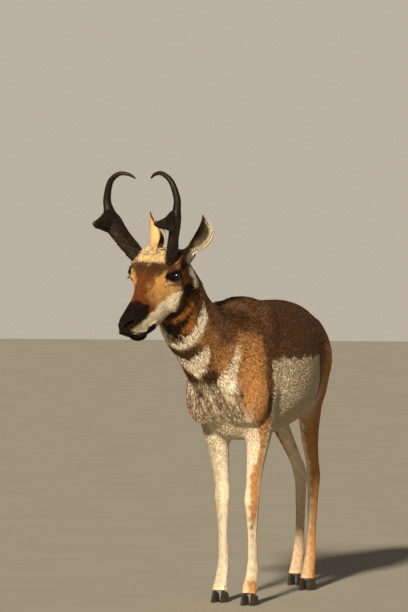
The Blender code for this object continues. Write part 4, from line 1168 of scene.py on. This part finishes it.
def lie_of(points, normals):
    """The way the hair lies at each point, along the surface."""
    body = in_body(points)
    head, signs = left_half(in_head(points))
    height, angle, neck_way = along_neck(points)
    turn = np.array(HEAD_HERE)[:3, :3]
    sideways = np.sign(body[:, 1])[:, None] * (0, 1, 0)
    way = np.tile((-1.0, 0.0, -0.30), (len(points), 1))
    thigh = ramp(-body[:, 0], 0.16, 0.30) * fall(body[:, 2], 0.70, 0.80)
    way = way + thigh[:, None] * (0.30, 0.0, -0.75)
    shoulder = ramp(body[:, 0], 0.02, 0.30) * fall(body[:, 2], 0.60, 0.80)
    way = way + shoulder[:, None] * (0.35, 0.0, -0.70)
    rump = ramp(-body[:, 0], 0.36, 0.42) * ramp(body[:, 2], 0.58, 0.66)
    way = way + rump[:, None] * ((-0.2, 0.0, -0.5) + 0.7 * sideways)
    leg = fall(body[:, 2], 0.42, 0.56)
    way = way * (1 - leg[:, None]) + leg[:, None] * (-0.16, 0.0, -1.0)
    on_neck = ramp(height, 0.08, 0.24)[:, None]
    way = way * (1 - on_neck) + on_neck * (-neck_way + (0, 0, -0.30) * ramp(angle, 30, 80)[:, None])
    face = np.tile((-1.0, 0.0, -0.12), (len(points), 1))
    cheek = ramp(-head[:, 2], 0.005, 0.05) * fall(head[:, 0], 0.15, 0.20)
    face = face + cheek[:, None] * (0.25, 0.0, -0.55)
    face = face + ramp(head[:, 2], 0.045, 0.06)[:, None] * (0, 0.35, 0.0)
    face = (face * signs) @ turn.T
    on_head = share_of_head(head, height)
    way = way * (1 - on_head[:, None]) + face * on_head[:, None]
    swirl = np.column_stack([wander(points, 0.060, seed) for seed in (31, 32, 33)])
    way = way / np.linalg.norm(way, axis=1)[:, None] + 0.12 * swirl
    return along_surface(way, normals)


def hair_sizes(points):
    """Length, half width, rise of the tip as a share of the length, and cover of the coat at each point."""
    body = in_body(points)
    head, _ = left_half(in_head(points))
    height, angle, _ = along_neck(points)
    hx, hy, hz = head.T
    x, y, z = body.T
    length = 0.0180 + 0.0100 * ramp(-x, 0.33, 0.42) * ramp(z, 0.56, 0.64)
    length = length + 0.0030 * ramp(height, 0.10, 0.25)
    length = length + 0.0030 * hill(angle, 180, 50) * ramp(height, 0.14, 0.26)
    length = length - 0.0100 * fall(z, 0.38, 0.54) - 0.0025 * fall(z, 0.12, 0.25)
    half_width = 0.00088 - 0.00010 * ramp(height, 0.10, 0.25) - 0.00030 * fall(z, 0.38, 0.54)
    rise = 0.06 + 0.06 * ramp(-x, 0.35, 0.42) * ramp(z, 0.56, 0.64) - 0.02 * ramp(height, 0.2, 0.3)
    rise = rise - 0.03 * fall(z, 0.38, 0.54)
    cover = np.full(len(points), 1.50) - 0.55 * fall(z, 0.38, 0.54)
    on_head = share_of_head(head, height)
    face_length = 0.0075 - 0.0030 * ramp(hx, 0.13, 0.20)
    face_length = face_length + 0.0050 * ramp(-hz, 0.020, 0.050) * fall(hx, 0.14, 0.19)
    ring, _, _, depth = eye_ring(head)
    by_eye = np.where(depth > 0, fall(ring, 1.2, 2.2), 0)
    face_length = face_length * (1 - 0.45 * by_eye)
    length = length + (face_length - length) * on_head
    half_width = half_width + (0.00050 - 0.00012 * ramp(hx, 0.13, 0.20) - half_width) * on_head
    rise = rise + (0.17 - rise) * on_head
    cover = cover + (1.12 - cover) * on_head
    bare = np.where(depth > 0, fall(ring, 1.08, 1.16), 0)
    bare = np.maximum(bare, fall(distance_to(head, NOSTRIL_LINE), 0.004, 0.007))
    bare = np.maximum(bare, fall(distance_to(head, MOUTH_LINE), 0.002, 0.004))
    bare = np.maximum(bare, fall(z, 0.044, 0.052))
    return length, half_width, rise, cover * (1 - bare)


def roots_on(mesh, density, seed):
    """Draws roots over a mesh: the triangle of each, its weights in it, its place and its normal."""
    mesh.calc_loop_triangles()
    corners = np.empty(len(mesh.loop_triangles) * 3, np.int32)
    mesh.loop_triangles.foreach_get("vertices", corners)
    corners = corners.reshape(-1, 3)
    rows = read(mesh)
    a, b, c = (rows[corners[:, k]] for k in range(3))
    area = np.linalg.norm(np.cross(b - a, c - a), axis=1) / 2
    draw = np.random.default_rng(seed)
    count = np.floor(area * density((a + b + c) / 3) + draw.random(len(area))).astype(int)
    chosen = np.repeat(np.arange(len(area)), count)
    weights = draw.dirichlet((1.4, 1.4, 1.4), len(chosen))
    normals = read(mesh, "vector", "vertex_normals")
    at = np.einsum("nk,nkd->nd", weights, rows[corners[chosen]])
    out = np.einsum("nk,nkd->nd", weights, normals[corners[chosen]])
    return corners[chosen], weights, at, out / np.linalg.norm(out, axis=1)[:, None]


def bent_back(at, out, way, length, rise, steps, draw, wild=0.05, sink=0.0006):
    """Middle lines of tufts, each of which rises from its root and lies back, a little to one side."""
    side = np.cross(out, way)
    way = way + side * draw.normal(0, wild, len(at))[:, None]
    side = np.cross(out, way)
    shares = np.linspace(0, 1, steps)[None, :, None]
    if steps == 3:
        shares = np.array((0, MIDDLE_SHARE, 1.0))[None, :, None]
    length = length[:, None, None]
    lean = draw.normal(0, wild, len(at))[:, None, None]
    lift = (rise * draw.uniform(0.7, 1.3, len(at)))[:, None, None] * (1 - (1 - shares) ** 2)
    bend = way[:, None] * shares + out[:, None] * lift + side[:, None] * lean * shares**2
    return (at - out * sink)[:, None] + length * bend


def laid_on_hide(lines, length, rise):
    """Brings the middle and tip of each short tuft to its height over the hide under it."""
    tree = hide_surface()
    for step, share in ((1, MIDDLE_RISE), (2, 1.0)):
        found = [tree.find_nearest(spot)[:2] for spot in lines[:, step].tolist()]
        near, out = np.array([(*at, *normal) for at, normal in found]).reshape(-1, 2, 3).transpose(1, 0, 2)
        lines[:, step] = near + out * (rise * length * share)[:, None]
    return lines


def unwrapped(points):
    """Places on a flat pattern of the hide: trunk, neck, head and each leg rolled out side by side."""
    body = in_body(points)
    head = in_head(points)
    height, _, _ = along_neck(points)
    round_trunk = np.arctan2(body[:, 1], body[:, 2] - 0.67) / (2 * math.pi) + 0.5
    round_head = np.arctan2(head[:, 1], head[:, 2]) / (2 * math.pi) + 0.5
    u = 0.03 + 0.55 * (body[:, 0] + 0.52) / 0.98
    v = 0.03 + 0.44 * round_trunk
    on_neck = height > 0.20
    round_neck = np.arctan2(body[:, 1] + 0.06, body[:, 2] - 0.62 - 0.9 * height) / (2 * math.pi) + 0.5
    u = np.where(on_neck, 0.62 + 0.35 * height / 0.60, u)
    v = np.where(on_neck, 0.03 + 0.44 * round_neck, v)
    on_head = (height > 0.47) & (head[:, 2] + 0.5 * head[:, 0] > -0.08)
    u = np.where(on_head, 0.03 + 0.36 * (head[:, 0] + 0.05) / 0.36, u)
    v = np.where(on_head, 0.52 + 0.44 * round_head, v)
    for index, (fore, left) in enumerate(((1, 1), (1, -1), (-1, 1), (-1, -1))):
        leg = (body[:, 2] < 0.50) & (np.sign(body[:, 0]) == fore) & (np.sign(body[:, 1]) == left)
        axis = 0.24 if fore > 0 else -0.43
        round_leg = np.arctan2(body[:, 1] - 0.062 * left, body[:, 0] - axis) / (2 * math.pi) + 0.5
        u = np.where(leg, 0.42 + 0.14 * index + 0.12 * round_leg, u)
        v = np.where(leg, 0.52 + 0.44 * body[:, 2] / 0.50, v)
    return np.clip(np.column_stack([u, v]), 0.002, 0.994)


def tufted(name, lines, out, half_width, colours, patches, material, slot, flat=0.32):
    """One piece of closed tapered tufts along their middle lines, each with a patch of the pattern."""
    count, steps, _ = lines.shape
    ways = np.gradient(lines, axis=1)
    across = np.cross(out[:, None], ways)
    across = across / np.maximum(np.linalg.norm(across, axis=2), 1e-9)[:, :, None]
    above = np.cross(ways, across)
    above = above / np.maximum(np.linalg.norm(above, axis=2), 1e-9)[:, :, None]
    taper = np.sin(math.pi * np.clip(np.linspace(0, 1, steps), 0, 1) ** 0.75)[1:-1]
    taper = taper / taper.max()
    wide = half_width[:, None, None] * taper[None, :, None]
    inner = lines[:, 1:-1]
    rings = np.stack([inner - across[:, 1:-1] * wide, inner + across[:, 1:-1] * wide,
                      inner + above[:, 1:-1] * wide * flat * 2], axis=2)
    points = np.concatenate([lines[:, :1], rings.reshape(count, -1, 3), lines[:, -1:]], axis=1)
    per = points.shape[1]
    faces = [(0, 1 + (k + 1) % 3, 1 + k) for k in range(3)]
    for ring in range(steps - 3):
        for k in range(3):
            a, b = 1 + 3 * ring + k, 1 + 3 * ring + (k + 1) % 3
            faces += [(a, b, b + 3), (a, b + 3, a + 3)]
    faces += [(per - 1, per - 4 + k, per - 4 + (k + 1) % 3) for k in range(3)]
    faces = np.array(faces, np.int32)
    corners = (faces[None] + per * np.arange(count, dtype=np.int32)[:, None, None]).ravel()
    mesh = bpy.data.meshes.new(name)
    mesh.vertices.add(count * per)
    mesh.vertices.foreach_set("co", points.astype(np.float32).ravel())
    mesh.loops.add(len(corners))
    mesh.loops.foreach_set("vertex_index", corners)
    mesh.polygons.add(len(corners) // 3)
    mesh.polygons.foreach_set("loop_start", np.arange(0, len(corners), 3, dtype=np.int32))
    mesh.update(calc_edges=True)
    along = np.concatenate([[0], np.repeat(np.linspace(0, 1, steps)[1:-1], 3), [1]])
    sideways = np.concatenate([[0.5], np.tile((0.0, 1.0, 0.5), steps - 2), [0.5]])
    spread = np.column_stack([sideways, along]) * PATCH
    flat_places = (patches[:, None] + spread[None]).reshape(-1, 2)
    layer = mesh.uv_layers.new(name="OFBake")
    layer.data.foreach_set("uv", flat_places[corners].astype(np.float32).ravel())
    # painted shade and light along each tuft: darker toward its root, deep in the coat, a little lighter at
    # its tip
    shade = np.interp(along, (0, 0.4, 1.0), (0.84, 1.0, 1.05))
    stored(mesh, "marking_and_painted_shade", (colours[:, None] * shade[None, :, None]).reshape(-1, 3))
    mesh.shade_smooth()
    mesh.materials.append(material)
    made = linked(name, mesh)
    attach(made, "root")
    return made


def varied(colours, draw, spread=0.07):
    """Each hair a little lighter or darker, warmer or greyer than its neighbours."""
    tone = np.exp(draw.normal(0, spread, len(colours)))[:, None]
    grey = colours.mean(axis=1)[:, None]
    return (colours + (grey - colours) * draw.uniform(-0.10, 0.25, len(colours))[:, None]) * tone


def coat_finish():
    material, shader, wire = finish("coat_hair", 0.60, Specular_IOR_Level=0.16)
    painted(wire, shader, "marking_and_painted_shade", noise(wire, 650.0, 2.0) * 0.5 + 0.75)
    return material


hair = coat_finish()
draw = np.random.default_rng(TUFT_SEED)


def wanted(points):
    """Short tufts for each square metre of hide."""
    length, half_width, _, cover = hair_sizes(points)
    return cover / (length * half_width)


_, _, at, out = roots_on(skin.data, wanted, TUFT_SEED)
length, half_width, rise, _ = hair_sizes(at)
length = length * draw.uniform(0.70, 1.25, len(at))
half_width = half_width * draw.uniform(0.65, 1.25, len(at))
way = lie_of(at, out)
lines = bent_back(at, out, way, length, rise, 3, draw)
lines = laid_on_hide(lines, length, rise * draw.uniform(0.7, 1.3, len(at)))
colours = varied(marked(at + way * (length * draw.uniform(0.3, 0.9, len(at)))[:, None]), draw)
patches = unwrapped(at)
body = in_body(at)
head = in_head(at)
height, _, _ = along_neck(at)
on_head = (height > 0.455) & (head[:, 2] + 0.5 * head[:, 0] > -0.09)
on_neck = ~on_head & (height > 0.13) & (body[:, 2] > 0.50)
on_leg = ~on_head & ~on_neck & (body[:, 2] < 0.47)
on_trunk = ~on_head & ~on_neck & ~on_leg
left = np.where(on_head, head[:, 1], body[:, 1]) > 0
fore = np.where(on_head, head[:, 0] > 0.115, body[:, 0] > np.where(on_leg, 0.0, -0.06))
fur_of = {"face": (on_head & fore, "coat_rust"), "skull": (on_head & ~fore, "coat_rust"),
          "neck": (on_neck, "coat_brown"), "foretrunk": (on_trunk & fore, "coat_brown"),
          "hindtrunk": (on_trunk & ~fore, "coat_brown"), "forelegs": (on_leg & fore, "coat_tan"),
          "hindlegs": (on_leg & ~fore, "coat_tan")}
for name, (part, slot) in fur_of.items():
    for side, half in (("left", left), ("right", ~left)):
        keep = part & half
        kept = [rows[keep] for rows in (lines, out, half_width, colours, patches)]
        tufted(f"fur_{name}_{side}", *kept, hair, slot)

# Long hair: the mane along the nape, the tousled cream tuft of the crown, the tail and the rump.
# These locks are longer than the coat and stand out from it, each bent on its own.

# Locks for each square metre
MANE_DENSITY = 60000
CROWN_DENSITY = 480000
TAIL_DENSITY = 130000
RUMP_DENSITY = 16000

def long_locks(name, density, seed, size, thick, rise, way_of, slot, wild, steps=5):
    """One piece of long locks, rooted where the density asks for them."""
    draw = np.random.default_rng(seed)
    _, _, at, out = roots_on(skin.data, density, seed)
    length = draw.uniform(*size, len(at))
    way = along_surface(way_of(at, out, draw), out)
    lines = bent_back(at, out, way, length, np.full(len(at), rise), steps, draw, wild)
    colours = varied(marked(at), draw, 0.14)
    return tufted(name, lines, out, draw.uniform(*thick, len(at)), colours, unwrapped(at), hair, slot)


def on_nape(points):
    height, angle, _ = along_neck(points)
    head = in_head(points)
    return MANE_DENSITY * hill(angle, 0, 22) * ramp(height, 0.10, 0.18) * fall(head[:, 0], -0.010, 0.015)


def down_nape(at, out, draw):
    _, _, way = along_neck(at)
    return -way + draw.normal(0, 0.10, at.shape)


def on_crown(points):
    head = in_head(points)
    between = fall(np.abs(head[:, 1]), 0.044, 0.054)
    ahead = ramp(head[:, 0], 0.048, 0.064) * fall(head[:, 0], 0.094, 0.108)
    return CROWN_DENSITY * between * ahead * ramp(head[:, 2], 0.042, 0.052)


def tousled(at, out, draw):
    head = in_head(at)
    way = np.column_stack([np.full(len(at), -0.9), 6 * head[:, 1], np.zeros(len(at))])
    return (way + draw.normal(0, 0.20, at.shape)) @ np.array(HEAD_HERE)[:3, :3].T


def on_tail(points):
    body = in_body(points)
    return TAIL_DENSITY * ramp(-body[:, 0], 0.462, 0.476) * ramp(body[:, 2], 0.64, 0.70)


def down_tail(at, out, draw):
    return np.tile((-0.35, 0.0, -1.0), (len(at), 1)) + draw.normal(0, 0.12, at.shape)


def on_rump(points):
    body = in_body(points)
    high = ramp(body[:, 2], 0.60, 0.66)
    return RUMP_DENSITY * ramp(-body[:, 0], 0.36, 0.42) * high * fall(np.abs(body[:, 1]), 0.10, 0.13)


long_locks("mane", on_nape, 41, (0.028, 0.042), (0.0008, 0.0016), 0.10, down_nape, "coat_brown", 0.06)
long_locks("crown_tuft", on_crown, 42, (0.009, 0.015), (0.0004, 0.0008), 0.40, tousled, "coat_pale", 0.20)
long_locks("tail_hair", on_tail, 43, (0.026, 0.042), (0.0007, 0.0014), 0.16, down_tail, "coat_pale", 0.12)
long_locks("rump_hair", on_rump, 44, (0.022, 0.034), (0.0008, 0.0014), 0.12,
           lambda at, out, draw: lie_of(at, out), "coat_pale", 0.14)

# Hair of the ears: short on the back, longer and paler along the hollow's rear edge.
# Lashes of the upper lid are long, black and curved down over the eye.

EAR_HAIR_DENSITY = 360000.0

def evenly_on_ear(points):
    return np.full(len(points), EAR_HAIR_DENSITY)


def ear_hair(side):
    """The hair of one ear, in the ear's colours, the painted shade of its hollow included."""
    pinna, notes, pale_edge = pinnae[side]
    draw = np.random.default_rng(51 + side)
    corners, weights, at, out = roots_on(pinna.data, evenly_on_ear, 53 + side)
    share, step, face = np.einsum("nk,nkd->nd", weights, notes[corners]).T
    rise_way = np.array(HEAD_HERE.to_3x3() @ Vector((0, 0, 1)))
    upright = upright_place(Vector(mirrored(EAR_FOOT, side))).to_3x3()
    up = np.array(upright @ Vector(mirrored(EAR_RISE, side)).normalized())
    way = np.tile(up, (len(at), 1)) + 0.15 * rise_way + draw.normal(0, 0.10, at.shape)
    way = along_surface(way, out)
    fringe = ramp(step, 0.70, 0.92) * ramp(face, 0.4, 0.6)
    length = (0.0045 + 0.011 * fringe * fall(share, 0.75, 1.0)) * draw.uniform(0.7, 1.3, len(at))
    colours = ear_colours(np.column_stack([share, step, np.round(face)]), pale_edge)
    pale = fringe * fall(share, 0.60, 0.85) * draw.uniform(0, 1, len(at))
    colours = varied(laid_over(colours, WHITE, pale * pale_edge), draw)
    lines = bent_back(at, out, way, length, 0.16 + 0.5 * fringe, 3, draw, 0.15, 0.0003)
    tufted("ear_hair_" + side_name(side), lines, out, draw.uniform(0.0003, 0.0006, len(at)),
           colours, unwrapped(at), hair, "coat_tan")


LASHES = 64


def lashes(side, material):
    """The lashes of one upper lid, longest over the middle of the eye."""
    draw = np.random.default_rng(57 + side)
    along, up, out = eye_axes()
    lines = []
    for share in np.linspace(0.03, 0.46, LASHES):
        at, outward = lid_line(share)
        at = at + outward * 0.0028 + out * 0.0016
        size = 0.0125 * (0.65 + 0.35 * math.sin(share * 2 * math.pi)) * draw.uniform(0.8, 1.15)
        fan = along * math.cos(share * 2 * math.pi) * 0.6 + draw.normal(0, 0.08, 3)
        steps = np.linspace(0, 1, 6)[:, None]
        bend = out * steps * 0.80 + (outward * 0.35 + fan) * steps + up * (0.25 - 0.75 * steps) * steps
        lines.append(at + size * bend)
    lines = np.array(lines)
    world = to_world(mirrored(lines.reshape(-1, 3), side)).reshape(lines.shape)
    outs = np.tile(np.array(HEAD_HERE.to_3x3() @ Vector(mirrored(up, side))), (LASHES, 1))
    tufted("lashes_" + side_name(side), world, outs, np.full(LASHES, 0.00032),
           np.tile((0.006, 0.005, 0.004), (LASHES, 1)), unwrapped(world[:, 0]), material, "eye_black")


for side in (1, -1):
    ear_hair(side)
    lashes(side, hair)

# Studio: a grey level floor, one low warm key ahead of the animal and a weak sky all round.
# A small lamp at the animal's left lights only the eyeballs, for the gleam in them. The camera stands
# nearly level, ahead of the animal and to its left, in the photograph's frame of 408 by 612.

FRAME_TALL = 612
FRAME_WIDE = 408
PIXELS_PER_METRE = 350.0
CAMERA_TURN = math.radians(16.5)
CAMERA_HEIGHT = math.radians(1.0)
CAMERA_DISTANCE = 15.0
# A point of the body and the pixel that shows it
KNOWN_POINT = Vector((0.25, 0.0, 0.885))
KNOWN_PIXEL = (235, 294)

floor_form = bmesh.new()
bmesh.ops.create_grid(floor_form, x_segments=40, y_segments=40, size=30.0)
floor_mesh = bpy.data.meshes.new("floor")
floor_form.to_mesh(floor_mesh)
floor_form.free()
floor = linked("floor", floor_mesh)
floor_paint, shader, wire = finish("floor_paint", 0.85)
join(wire, wire.add("ShaderNodeValToRGB", {"stops": ((0.3, (0.40, 0.37, 0.31)), (0.7, (0.43, 0.40, 0.34)))},
                    {"Fac": noise(wire, 3.0)}), shader, "Base Color")
floor_mesh.materials.append(floor_paint)


def heading(turn, height):
    """The way to a place that is turned from straight ahead and stands at a height, both as angles."""
    return Vector((math.cos(turn) * math.cos(height), math.sin(turn) * math.cos(height), math.sin(height)))


toward = heading(CAMERA_TURN, CAMERA_HEIGHT)
right = Vector((-math.sin(CAMERA_TURN), math.cos(CAMERA_TURN), 0.0))
above = toward.cross(right)
target = KNOWN_POINT + SHIFT
target = target - right * ((KNOWN_PIXEL[0] - FRAME_WIDE / 2) / PIXELS_PER_METRE)
target = target + above * ((KNOWN_PIXEL[1] - FRAME_TALL / 2) / PIXELS_PER_METRE)
lens = bpy.data.cameras.new("camera")
lens.sensor_fit = "VERTICAL"
lens.sensor_height = 36.0
lens.lens = lens.sensor_height * CAMERA_DISTANCE / (FRAME_TALL / PIXELS_PER_METRE)
lens.clip_end = 200.0
camera = linked("camera", lens)
camera.matrix_world = Matrix.Translation(target + toward * CAMERA_DISTANCE) @ Matrix(
    (right, above, toward)).transposed().to_4x4()
bpy.context.scene.camera = camera

SUN_TURN = math.radians(4)
SUN_HEIGHT = math.radians(22)
SUN_WIDE = math.radians(4)
SUN_POWER = 5.8
CATCH_TURN = math.radians(80)
CATCH_HEIGHT = math.radians(8)
CATCH_WIDE = math.radians(17)
CATCH_POWER = 12.0
SKY_POWER = 0.14


def lamp(name, turn, height, wide, power, colour):
    """A far, even lamp that shines from a turn and a height on a disk of the sky."""
    light = bpy.data.lights.new(name, "SUN")
    light.energy = power
    light.angle = wide
    light.color = colour
    made = linked(name, light)
    made.matrix_world = heading(turn, height).to_track_quat("Z", "Y").to_matrix().to_4x4()
    return made


lamp("key_light", SUN_TURN, SUN_HEIGHT, SUN_WIDE, SUN_POWER, (1.0, 0.87, 0.68))
catch = lamp("catch_light", CATCH_TURN, CATCH_HEIGHT, CATCH_WIDE, CATCH_POWER, (1.0, 0.95, 0.88))
glassy = bpy.data.collections.new("eyeballs")
for name in ("eyeball_left", "eyeball_right"):
    glassy.objects.link(bpy.data.objects[name])
catch.light_linking.receiver_collection = glassy
world = bpy.data.worlds.new("studio_sky")
world.use_nodes = True
sky = Wire(world.node_tree)
ambient = world.node_tree.nodes["Background"]
ambient.inputs["Color"].default_value = (0.90, 0.84, 0.72, 1.0)
ambient.inputs["Strength"].default_value = SKY_POWER
wall = sky.add("ShaderNodeBackground", sockets={"Color": (0.50, 0.44, 0.36, 1.0), "Strength": 1.0})
seen = sky.add("ShaderNodeLightPath", output="Is Camera Ray")
dim = Wire(world.node_tree, ambient.outputs[0])
both = sky.add("ShaderNodeMixShader", sockets={0: seen, 1: dim, 2: wall})
world.node_tree.links.new(both.socket, world.node_tree.nodes["World Output"].inputs["Surface"])
bpy.context.scene.world = world
